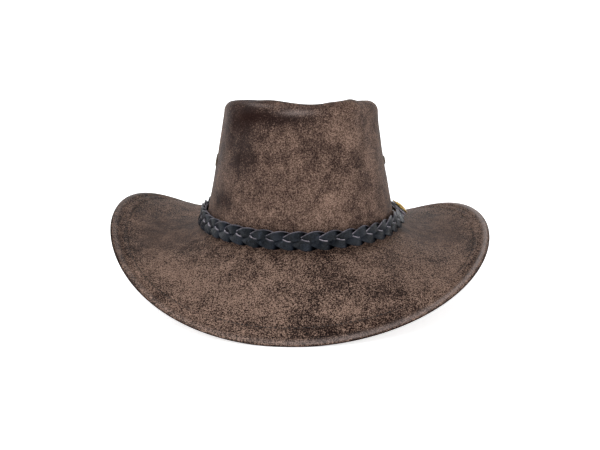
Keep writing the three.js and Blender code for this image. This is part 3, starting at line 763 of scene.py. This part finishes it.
def stitch_line(inside):
    """Angles along a stitch line, the distance to each from the back, and the number of stitches."""
    angles = np.linspace(-math.pi, math.pi, 4001)
    length = length_along(hem_point(angles, inside, 0.0))
    return angles, length, round(length[-1] / STITCH_PITCH)


def stitch_phase(angle, inside):
    """Distance round the stitch line in stitches."""
    angles, length, stitches = stitch_line(inside)
    wrapped = (angle + math.pi) % (2 * math.pi) - math.pi
    return np.interp(wrapped, angles, length) / length[-1] * stitches


def hem_depth(angle, inside):
    """How far the upper face lies under the plain brim: stitch groove, puckers, valley and bead."""
    pucker = PUCKER_DEPTH * np.cos(2 * math.pi * stitch_phase(angle, HEM_WIDTH))
    total = pucker * hump(inside - HEM_WIDTH, PUCKER_HALF_WIDTH)
    for depth, spot, half_width in HEM_SHAPE.values():
        total = total + depth * hump(inside - spot, half_width)
    return total


def lay_on(angle, across, depth):
    """A place under the upper face, with the leather's slow swells, fading out at the edge and joint."""
    face = brim_face(angle, across)
    free = smoothstep(across, 0.08, 0.3) * (1 - smoothstep(across, 0.86, 0.97))
    up = brim_frame(angle, across)[1]
    return face + up * (swell(face, BRIM_SWELLS) * free - depth)[..., None]


def settle(p):
    """Presses the lowest part of the hem softly onto the surface that the hat stands on."""
    above = p[..., 2] - STANDING
    pressed = SETTLED * np.exp((above - SETTLED) / SETTLED)
    p[..., 2] = STANDING + np.where(above > SETTLED, above, pressed)
    return p


def build_brim_top():
    """The upper ply: collar, upper face, bead round the wire, flap under the hem, and back inside."""
    a = brim_angles
    collar = CROWN_LEATHER + COLLAR_GAP
    collar_inside = collar + COLLAR_LEATHER
    width = brim_width(a)
    rows, polish_highlight, bead_shade = [], [], []

    # Each row also carries how much painted highlight and painted shade the bead gets there
    def add(row, rubbed=0.0, shade_below=0.0):
        rows.append(row)
        polish_highlight.append(rubbed)
        bead_shade.append(shade_below)

    for h in (COLLAR_HEIGHT, 8.0, 5.0, 2.4, 0.9):
        add(wall_point(a, h, collar))
    hem_start = 1 - (HEM_WIDTH + 5) / width
    for t in np.linspace(0, 1, 64):
        add(lay_on(a, lerp(BRIM_START, hem_start, t), 0.0))
    # The hem rows, with a painted highlight on the upper face next to the edge
    for inside in np.linspace(HEM_WIDTH + 4.6, 0, 44):
        add(lay_on(a, 1 - inside / width, hem_depth(a, inside)), hump(inside, 2.2))
    bead = tunnel_radius(a) + (BEAD_RADIUS - WIRE_ROOM)
    # Round the bead: a painted highlight on its upper side and a painted shade on its lower side
    for turn in np.radians(np.arange(80, -96, -11)):
        row = settle(bead_point(a, bead + 0.25 * max(0, math.sin(turn)), turn))
        add(row, smoothstep(turn, 0.7, 1.3), 1 - smoothstep(turn, 0.1, 1.05))
    flap_edge = HEM_WIDTH + FLAP_BEYOND
    phase = stitch_phase(a, UNDER_STITCHES)
    for inside in np.linspace(1.6, flap_edge - 0.3, 22):
        dent = 0.45 * hump(inside - UNDER_STITCHES, 0.9) * (0.6 + 0.4 * np.cos(2 * math.pi * phase))
        add(settle(hem_point(a, inside, FLAP_BOTTOM + 0.25 * np.exp(-inside / 4) - dent)))
    add(hem_point(a, flap_edge, FLAP_BOTTOM - 0.35))
    add(hem_point(a, flap_edge, FLAP_TOP + 0.3))
    add(hem_point(a, flap_edge - 0.3, FLAP_TOP))
    add(hem_point(a, TUNNEL_MOUTH, FLAP_TOP))
    for turn in np.radians([-90, -60, -30, 0, 30, 60, 90]):
        add(bead_point(a, tunnel_radius(a), turn))
    add(hem_point(a, TUNNEL_MOUTH, TOP_LEATHER))
    for t in np.linspace(1, 0, 24):
        add(lay_on(a, lerp(BRIM_START, hem_start, t), TOP_LEATHER))
    for h in (-TOP_LEATHER, 2.0, 6.0, COLLAR_HEIGHT):
        add(wall_point(a, h, collar_inside))
    obj = hoop("brim_top_leather", rows, LEATHER)
    local = np.concatenate(rows)
    mark_brim(obj, local, np.repeat(polish_highlight, BRIM_COLUMNS), np.repeat(bead_shade, BRIM_COLUMNS))
    return obj


def mark_brim(obj, local, edge_highlight, shaded_edge):
    """Gives the brim its wear, with painted light on the bead: a painted highlight above, weaker on the
    right, and painted shade below.
    """
    turn = angle_at(local)
    radial = np.hypot(local[:, 0] / BRIM_EDGE_HALF_WIDTH, local[:, 1] / BRIM_EDGE_BACK)
    across = np.clip((radial - 0.53) / 0.44, 0, 1)
    # The painted shade on the bead's lower side is taken off the stain marks
    set_attribute(obj, "stain", marks_at(BRIM_MARKS, turn, across) - EDGE_SHADE * shaded_edge)
    calm = smoothstep(np.abs(np.sin(turn)), 0.88, 1.0) * (1 - smoothstep(radial, 0.8, 0.98))
    # The bead's painted highlight is weaker on the right side
    edge_highlight = edge_highlight * lerp(RIGHT_HIGHLIGHT, 1.0, smoothstep(np.sin(turn), -0.45, 0.2))
    set_attribute(obj, "calm", np.maximum(calm, EDGE_CALM * np.maximum(shaded_edge, edge_highlight)))
    set_attribute(obj, "polish_highlight", edge_highlight)


def build_brim_under():
    """The lower ply, which ends inside the hem."""
    a = brim_angles
    upper = TOP_LEATHER + PLY_GAP
    lower = upper + UNDER_LEATHER
    edge = 1 - (HEM_WIDTH / 3 + 0.8) / brim_width(a)
    rows = [lay_on(a, lerp(0.03, edge, t), lower) for t in np.linspace(0, 1, 60)]
    rows += [lay_on(a, lerp(0.03, edge, t), upper) for t in np.linspace(1, 0, 30)]
    return hoop("brim_under_leather", rows, LINING)


place(build_brim_top(), "hat", "hat_leather", "brim_top")
place(build_brim_under(), "hat", "lining_leather", "brim_under")


# ---- Stitching ----


def stitch(centre, along, up):
    """Rows of one stitch lying along a direction, its ends dipping into the leather."""
    side = np.cross(along, up)
    turn = np.linspace(0, 2 * math.pi, STITCH_SIDES, endpoint=False)
    rows = []
    for t in np.linspace(-1, 1, STITCH_RINGS):
        sink = STITCH_RADIUS * 1.1 * abs(t) ** 3
        middle = centre + along * (t * STITCH_LENGTH / 2) - up * sink
        reach = STITCH_RADIUS * max(math.sqrt(1 - t**4), 0.12)
        rows.append(middle + reach * (np.cos(turn)[:, None] * side + np.sin(turn)[:, None] * up))
    return np.array(rows)


def stitched_line(name, inside, depth, facing):
    """A row of separate stitches round the hem, as one mesh; facing is 1 above and -1 below."""
    angles, length, stitches = stitch_line(inside)
    vertices, faces, start = [], [], 0
    for k in range(stitches):
        angle = np.interp((k + 0.5) / stitches * length[-1], length, angles)
        a = np.array([angle - 0.004, angle, angle + 0.004])
        line = hem_point(a, inside, depth)
        along = unit(line[2] - line[0])
        up = brim_frame(a[1:2], 1 - inside / brim_width(a[1:2]))[1][0] * facing
        vertices.append(stitch(line[1], along, up).reshape(-1, 3))
        faces += grid_faces(STITCH_RINGS, STITCH_SIDES, False, True, start)
        faces.append(list(range(start, start + STITCH_SIDES))[::-1])
        start += STITCH_RINGS * STITCH_SIDES
        faces.append(list(range(start - STITCH_SIDES, start)))
    obj = new_object(name, to_frame(np.concatenate(vertices)), faces)
    paint(obj, THREAD)
    return obj


place(stitched_line("hem_stitches_top", HEM_WIDTH, 0.3, 1), "hat", "thread", "hem_thread")
place(stitched_line("hem_stitches_under", UNDER_STITCHES, FLAP_BOTTOM - 0.15, -1), "hat", "thread")


# ---- Sweatband ----

SWEAT_OUTSIDE = CROWN_LEATHER + COLLAR_LEATHER + 2 * COLLAR_GAP
# Its stitched grooves: height, half width and depth
SWEATBAND_GROOVES = ((2.2, 0.8, 0.35), (31.5, 0.6, 0.25))


def build_sweatband():
    """The leather band inside the head opening, a little wavy towards its free upper edge."""
    a = crown_angles
    inner = SWEAT_OUTSIDE + SWEATBAND_LEATHER
    heights = np.linspace(SWEATBAND_BOTTOM, SWEATBAND_HEIGHT, 34)
    rows = [wall_point(a, h, SWEAT_OUTSIDE + 0.05) for h in heights[1:-1:4]]
    rows.append(wall_point(a, SWEATBAND_HEIGHT - 0.5, SWEAT_OUTSIDE + 0.1))
    rows.append(wall_point(a, SWEATBAND_HEIGHT, SWEAT_OUTSIDE + SWEATBAND_LEATHER / 2))
    for h in heights[::-1][1:-1]:
        groove = sum(depth * hump(h - level, half) for level, half, depth in SWEATBAND_GROOVES)
        wave = 0.25 * ripple(wall_point(a, h, inner), 40, 21) * smoothstep(h, 14, 34)
        rows.append(wall_point(a, h, inner - groove + np.abs(wave)))
    rows.append(wall_point(a, SWEATBAND_BOTTOM, inner - 0.2))
    rows.append(wall_point(a, SWEATBAND_BOTTOM, SWEAT_OUTSIDE + 0.3))
    return hoop("sweatband_leather_band", rows, SWEAT_LEATHER)


def build_seam_tab():
    """The patch over the sweatband's closing seam, with a softly pillowed face."""
    face = SWEAT_OUTSIDE + SWEATBAND_LEATHER + 0.3
    low, high = SEAM_TAB_HEIGHTS
    n_u, n_v = 28, 36
    u, v = np.meshgrid(np.linspace(-1, 1, n_u), np.linspace(-1, 1, n_v), indexing="ij")
    edge = np.maximum(np.abs(u), np.abs(v))
    scale = edge / (np.abs(u) ** 8 + np.abs(v) ** 8) ** (1 / 8)  # rounds the corners
    angle = math.pi + u * scale * SEAM_TAB_HALF_ANGLE
    height = lerp(low, high, (v * scale + 1) / 2)
    thick = SEAM_TAB_THICKNESS * np.clip(1 - edge**10, 0, 1) ** 0.5
    groove = 0.25 * hump(edge - 0.82, 0.05)
    front = wall_point(angle, height, face + thick - groove * (thick > 0.5))
    back = wall_point(angle, height, face)
    vertices = np.concatenate([front.reshape(-1, 3), back.reshape(-1, 3)])
    faces = grid_faces(n_u, n_v, False, False)
    faces += [f[::-1] for f in grid_faces(n_u, n_v, False, False, n_u * n_v)]
    obj = new_object("sweatband_seam_patch", to_frame(vertices), faces)
    merge_poles(obj)
    paint(obj, SWEAT_LEATHER)
    return obj


place(build_sweatband(), "hat", "sweat_leather", "sweatband")
place(build_seam_tab(), "hat", "sweat_leather", "sweatband_seam_tab")


def build_reed():
    """The round reed along the sweatband's lower edge."""
    a = crown_angles
    middle = wall_point(a, SWEATBAND_BOTTOM, SWEAT_OUTSIDE + SWEATBAND_LEATHER / 2)
    middle[..., 2] -= REED_DROP + REED_RADIUS
    outward = unit(middle * np.array([1, 1, 0]))
    rows = [
        middle + REED_RADIUS * (math.sin(t) * outward + math.cos(t) * np.array([0, 0, 1]))
        for t in np.linspace(0, 2 * math.pi, 14, endpoint=False)
    ]
    return hoop("sweatband_reed_cord", rows, REED)


place(build_reed(), "hat", "reed", "sweatband_reed")


# ---- Turned fittings ----


def basis(origin, x_axis, z_axis):
    """The placing of a piece whose own z and x axes point these ways."""
    z = Vector(z_axis).normalized()
    x = (Vector(x_axis) - z * Vector(x_axis).dot(z)).normalized()
    y = z.cross(x)
    matrix = Matrix((x, y, z)).transposed().to_4x4()
    matrix.translation = Vector(origin)
    return matrix


def turned(name, profile, matrix, material, sides=48, rubbed=1.0):
    """A closed turned piece from corners (radius, height) in millimetres, bright to rubbed below its top."""
    turn = np.linspace(0, 2 * math.pi, sides, endpoint=False)
    rows = np.array([points(r * np.cos(turn), r * np.sin(turn), z) for r, z in profile])
    obj = new_object(name, rows.reshape(-1, 3) * MM, grid_faces(len(profile), sides, True, True))
    merge_poles(obj)
    height = vectors(obj.data.vertices, "co")[:, 2] / MM
    set_attribute(obj, "rubbed", np.clip(1 - (height.max() - height) / rubbed, 0, 1))
    obj.data.transform(matrix)
    paint(obj, material)
    sharp = obj.modifiers.new("edges", "EDGE_SPLIT")
    sharp.split_angle = math.radians(50)
    return obj


def arc(centre_r, centre_z, radius_r, radius_z, start, end, steps):
    """Profile corners along an ellipse, angles in degrees from the radial direction."""
    return [
        (centre_r + radius_r * math.cos(math.radians(t)), centre_z + radius_z * math.sin(math.radians(t)))
        for t in np.linspace(start, end, steps)
    ]


def build_eyelet(place_name, angle):
    """The domed ring outside the crown, its barrel through the leather and the washer inside."""
    centre, normal = eyelet_axis(angle)
    matrix = basis(centre, (0, 0, 1), normal)
    end = -(CROWN_LEATHER + EYELET_REACH)
    ring = (EYELET_FLANGE + EYELET_BORE) / 2  # radius of the dome's crest
    barrel = [(EYELET_BORE, end), (EYELET_BARREL, end), (EYELET_BARREL, EYELET_SEAT)]
    flange = [(EYELET_FLANGE - 0.1, EYELET_SEAT)]
    flange += arc(ring, EYELET_EDGE, EYELET_FLANGE - ring, EYELET_DOME, 0, 180, 13)
    eyelet = turned(f"eyelet_ring_{place_name}", barrel + flange, matrix, EYELET_BRASS)
    place(eyelet, "hat", "brass", f"eyelet_{place_name}")
    top = -(CROWN_LEATHER + WASHER_SEAT)
    bottom = top - WASHER_THICKNESS
    bore = EYELET_BARREL + 0.3
    rim = [(WASHER_RADIUS, top), (WASHER_RADIUS, top - 0.25), (WASHER_RADIUS - 0.5, bottom)]
    dish = [(bore, top)] + rim + [(bore, bottom)]
    washer = turned(f"eyelet_back_ring_{place_name}", dish, matrix, EYELET_BRASS)
    place(washer, "hat", "brass", f"eyelet_washer_{place_name}")


for place_name, angle in EYELETS.items():
    build_eyelet(place_name, angle)

for node, material in (("brim_wire", STEEL), ("wire_ferrule", EYELET_BRASS)):
    paint(frame["nodes"][node], material)


# ---- Braided band ----

# The middle line of the braid, all round from the stud
LOOP_POINTS = 6001
loop_turn = np.linspace(0, 2 * math.pi, LOOP_POINTS) + STUD_ANGLE - math.pi / 2
loop_xy = np.stack([BAND_OVAL[0] * np.cos(loop_turn), BAND_OVAL[1] * np.sin(loop_turn)], -1)
loop_arc = length_along(loop_xy)
END_GAP = TAB_LENGTH / 2 + BAND_END_GAP
BRAID_LENGTH = loop_arc[-1] - 2 * END_GAP


def braid_frame(distance):
    """Centre, outward face direction and up direction of the braid at distances along it."""
    s = END_GAP + distance
    x, y = (np.interp(s, loop_arc, loop_xy[:, k]) for k in (0, 1))
    before, after = ([np.interp(s + d, loop_arc, loop_xy[:, k]) for k in (0, 1)] for d in (-0.5, 0.5))
    tangent = unit(points(after[0] - before[0], after[1] - before[1], 0.0))
    from_end = np.minimum(distance, BRAID_LENGTH - distance)
    free = smoothstep(from_end, 0, BAND_END_REACH)[..., None]
    lean = np.radians(lerp(BAND_END_LEAN, BAND_LEAN, free))
    outward = points(tangent[..., 1], -tangent[..., 0], 0.0)
    up = np.array([0, 0, 1.0])
    face = outward * np.cos(lean) + up * np.sin(lean)
    rise = -outward * np.sin(lean) + up * np.cos(lean)
    centre = points(x, y, BAND_HEIGHT) + outward * lerp(BAND_END_OUTWARD, 0, free)
    return centre, face, rise


def lace_height(turn, off):
    """How far out of the braid a lace lies: over where it runs outward, under where it runs in."""
    weave = LACE_WEAVE * np.sin(2 * turn - LACE_LAG) + LACE_SHARP * np.sin(4 * turn)
    return weave + off * (LACE_ROLL * np.cos(turn) - LACE_TILT * np.sin(turn))


def lace_profile():
    """Corners of a lace's section: (place across, place through, on the cut edge)."""
    across = [-1, -0.96, -0.88, -0.7, -0.5, -0.25, 0, 0.25, 0.5, 0.7, 0.88, 0.95, 1]
    # The pale raw edge is painted on the upper side only, where light falls: near the face's upper edge and
    # on the upper cut edge
    rubbed = {1: 1.0, 0.95: 1.0, 0.88: 0.3}
    face = [(u, 0.5 * (1 - abs(u) ** 6 * 0.3), rubbed.get(u, 0.0)) for u in across]
    back = [(u, -0.5, 0.0) for u in across[::-1]]
    right = [(1.03, 0.22, 1.0), (1.04, -0.22, 1.0), (1.03, -0.42, 1.0)]
    # The lower cut edge is left black, a painted shade
    left = [(-1.03, -0.42, 0.0), (-1.04, -0.22, 0.0), (-1.03, 0.22, 0.0)]
    return np.array(face + right + back + left)


def build_lace(name, phase, seed):
    """One of the three laces, swinging across the band and weaving over and under the others."""
    steps = BRAID_PERIODS * 30
    distance = np.linspace(0, BRAID_LENGTH, steps + 1)
    turn = distance / BRAID_LENGTH * BRAID_PERIODS * 2 * math.pi + phase
    centre, face, rise = braid_frame(distance)
    slope = LACE_SWING * 2 * math.pi * BRAID_PERIODS / BRAID_LENGTH * np.cos(turn)
    along = unit(np.gradient(centre, axis=0))
    profile = lace_profile()
    width = LACE_HALF_WIDTH * (1 + 0.06 * ripple(centre, 30, seed))
    from_end = np.minimum(distance, BRAID_LENGTH - distance)
    pressed = lerp(LACE_PRESSED, 1.0, smoothstep(from_end, LACE_PRESSED_FROM, LACE_PRESSED_TO))
    # How much of the raw edge is painted pale: all of it where the lace is in the lower half of the band,
    # 0.4 in the upper half
    pale_edge_share = lerp(0.4, 1.0, smoothstep(-np.sin(turn), -0.3, 0.3))
    rows, crest_shade = [], []
    for u, through, _ in profile:
        off = u * width
        lean = 1 / np.hypot(1, slope)
        up_part, along_part = off * lean, -off * slope * lean
        out = lace_height(turn, off) * pressed + through * LACE_THICKNESS
        # How far the lace stands out, 0 where sunk to 1 on the crest, which paints the sunk parts near black
        # as shade
        crest_shade.append((LACE_SUNK + out * np.sign(through)) / LACE_RISE)
        spot = centre + rise * (LACE_SWING * np.sin(turn) + up_part)[:, None]
        rows.append(spot + along * along_part[:, None] + face * out[:, None])
    rows = np.array(rows)
    n_rows, n_columns = rows.shape[:2]
    faces = grid_faces(n_rows, n_columns, True, False)
    faces.append([i * n_columns for i in range(n_rows)])
    faces.append([i * n_columns + n_columns - 1 for i in range(n_rows)][::-1])
    obj = new_object(name, to_frame(rows).reshape(-1, 3), faces)
    face_outward(obj)
    set_attribute(obj, "cut_edge", np.outer(profile[:, 2], pale_edge_share))
    set_attribute(obj, "crest_shade", np.array(crest_shade))
    paint(obj, LACE)
    return obj


for index, letter in enumerate("abc"):
    lace = build_lace(f"braid_lace_{letter}", index * 2 * math.pi / 3, 40 + index)
    place(lace, "band", "band_leather", f"braid_strand_{letter}")


# ---- Band ends and stud ----

stud_joint = next(j for j in frame["joints"] if j["name"] == "stud_spin")
STUD_FACING = Vector(stud_joint["axis"]).normalized()
STUD_CENTRE = Vector(stud_joint["pos_m"])
LONG_AXIS = Vector((math.cos(STUD_ANGLE), math.sin(STUD_ANGLE), 0))
stud_matrix = basis(STUD_CENTRE, LONG_AXIS, STUD_FACING)


def build_tab(name, bottom, seed):
    """A leather end tab with rounded corners, a soft edge and a hole for the post."""
    n_around, n_out = 72, 16
    turn = np.linspace(0, 2 * math.pi, n_around, endpoint=False)
    c, s = np.cos(turn), np.sin(turn)
    power = TAB_SQUARENESS
    outer = np.abs(2 * c / TAB_LENGTH) ** power + np.abs(2 * s / TAB_WIDTH) ** power
    outer = outer ** (-1 / power)
    outer = outer * (1 + 0.012 * ripple(points(c * 20, s * 20, 0.0), 14, seed))
    rows = []
    for t in np.linspace(0, 1, n_out):
        r = lerp(TAB_HOLE, outer, t)
        groove = 0.22 * hump(outer - r - 1.9, 0.45)
        z = bottom + TAB_THICKNESS - 0.3 * t**14 - groove * (t > 0.3)
        rows.append(points(r * c, r * s, z))
    for z in (bottom + TAB_THICKNESS * 0.65, bottom + TAB_THICKNESS * 0.3):
        rows.append(points((outer + 0.12) * c, (outer + 0.12) * s, z))
    for t in np.linspace(1, 0, n_out):
        r = lerp(TAB_HOLE, outer, t)
        rows.append(points(r * c, r * s, bottom + 0.1 * t**14))
    cut = [0] * n_out + [1, 1] + [0] * n_out
    rows = np.array(rows) * MM
    obj = new_object(name, rows.reshape(-1, 3), grid_faces(len(rows), n_around, True, True))
    obj.data.transform(stud_matrix)
    face_outward(obj)
    set_attribute(obj, "cut_edge", np.repeat(cut, n_around))
    # The tabs get the full face colour, with no painted shade
    set_attribute(obj, "crest_shade", np.full(len(cut) * n_around, 0.7))
    paint(obj, LACE)
    return obj


for side, bottom, seed in (("front", TAB_GAP, 51), ("rear", -TAB_GAP - TAB_THICKNESS, 52)):
    place(build_tab(f"band_tab_{side}_leather", bottom, seed), "band", "band_leather", f"band_tab_{side}")


def build_stud():
    """The cap, with a rolled rim, a hollow ring and a dome, and the screw that holds it from behind."""
    seat = TAB_THICKNESS + TAB_GAP + STUD_SEAT
    inside = seat + 0.6
    post_end = -(TAB_THICKNESS + 2 * TAB_GAP)
    r = STUD_RADIUS
    rim = arc(r - STUD_RIM[0], seat + STUD_RIM[1], *STUD_RIM, -70, 110, 12)
    hollow = [(r - 1.6, seat + 1.12), (r - 2.0, seat + 1.05), (r - 2.4, seat + 1.2)]
    dome = arc(0, seat + 1.0, r - 2.6, STUD_DOME, 8, 90, 16)
    bore = [(0, inside), (POST_BORE, inside), (POST_BORE, post_end)]
    post = [(POST_RADIUS, post_end), (POST_RADIUS, seat), (r - 1.4, seat)]
    profile = rim + hollow + dome + bore + post
    cap = turned("stud_dome", profile, stud_matrix, BRASS, sides=64, rubbed=STUD_RUBBED)
    place(cap, "stud", "brass", "stud_cap")
    end = -seat - SCREW_HEAD_THICKNESS
    head = [(0, end), (2.0, end), (4.0, end + 0.1), (SCREW_HEAD, end + 0.5), (SCREW_HEAD, -seat)]
    shank = [(SCREW_RADIUS, -seat), (SCREW_RADIUS, TAB_THICKNESS), (0, TAB_THICKNESS)]
    screw = turned("stud_back_screw", head + shank, stud_matrix, BRASS, sides=40, rubbed=STUD_RUBBED)
    place(screw, "stud", "brass", "stud_screw")


build_stud()


# ---- Stage ----

FLOOR_REACH, FLOOR_BEND, FLOOR_WALL = 8.0, 1.0, 2.8  # metres
TARGET = Vector(JOINT_CENTRE)  # what the lights and the camera face

# Soft boxes: place, width and height in metres, and power in watts
LIGHTS = {
    "key": ((-0.9, -1.2, 1.5), 1.2, 1.2, 14),
    "fill": ((1.3, -0.9, 1.0), 1.2, 1.2, 6),
    "top": ((0.0, 0.2, 1.9), 1.6, 1.2, 10.5),
    "back": ((0.3, 1.6, 0.9), 1.8, 0.8, 6),
    "left_strip": ((-1.5, 0.3, 0.6), 0.4, 1.2, 4),
}


def build_floor():
    """A sheet of white paper, curving up into a round wall far from the hat."""
    bend = arc(FLOOR_REACH, FLOOR_BEND, FLOOR_BEND, FLOOR_BEND, -90, 0, 13)
    profile = [(0.0, 0.0)] + bend + [(FLOOR_REACH + FLOOR_BEND, FLOOR_WALL)]
    turn = np.linspace(0, 2 * math.pi, 96, endpoint=False)
    rows = np.array([points(r * np.sin(turn), r * np.cos(turn), z) for r, z in profile])
    obj = new_object("floor", rows.reshape(-1, 3), grid_faces(len(profile), len(turn), False, True))
    merge_poles(obj)
    n = Nodes("floor_paper")
    tooth = n.noise(60, 3.0, 0.5)
    colour = n.mix(n.span(tooth, 0.3, 0.7), srgb(249, 249, 249), srgb(253, 253, 253))
    paper = n.finish(
        Base_Color=colour,
        Roughness=0.9,
        Specular_IOR_Level=0.2,
        Emission_Color=(1, 1, 1, 1),
        Emission_Strength=0.7,
    )
    paint(obj, paper)


def facing_hat(name, data, spot):
    """A light or camera at a place, facing the hat."""
    obj = bpy.data.objects.new(name, data)
    obj.location = spot
    obj.rotation_mode = "QUATERNION"
    obj.rotation_quaternion = (TARGET - Vector(spot)).to_track_quat("-Z", "Y")
    bpy.context.scene.collection.objects.link(obj)
    return obj


build_floor()
for light_name, (light_place, width, height, power) in LIGHTS.items():
    light = bpy.data.lights.new(light_name, "AREA")
    light.shape = "RECTANGLE"
    light.size, light.size_y = width, height
    light.energy = power
    facing_hat(light_name, light, light_place)

world = bpy.data.worlds.new("studio")
bpy.context.scene.world = world
world.use_nodes = True
sky = world.node_tree.nodes["Background"].inputs
sky["Color"].default_value = (0.92, 0.96, 1, 1)
sky["Strength"].default_value = 0.28
bpy.context.scene.view_settings.view_transform = "Standard"

# ---- Camera ----

CAMERA_DISTANCE = 1.0  # metres, from the joint centre
CAMERA_ELEVATION, CAMERA_TURN = math.radians(14.0), math.radians(-3.374)
camera = bpy.data.cameras.new("camera")
camera.sensor_width, camera.lens = 36.0, 61.68
camera.shift_x, camera.shift_y = -0.0004, -0.004
back = Vector((math.sin(CAMERA_TURN), -math.cos(CAMERA_TURN), 0)) * math.cos(CAMERA_ELEVATION)
back.z = math.sin(CAMERA_ELEVATION)
bpy.context.scene.camera = facing_hat("camera", camera, TARGET + back * CAMERA_DISTANCE)
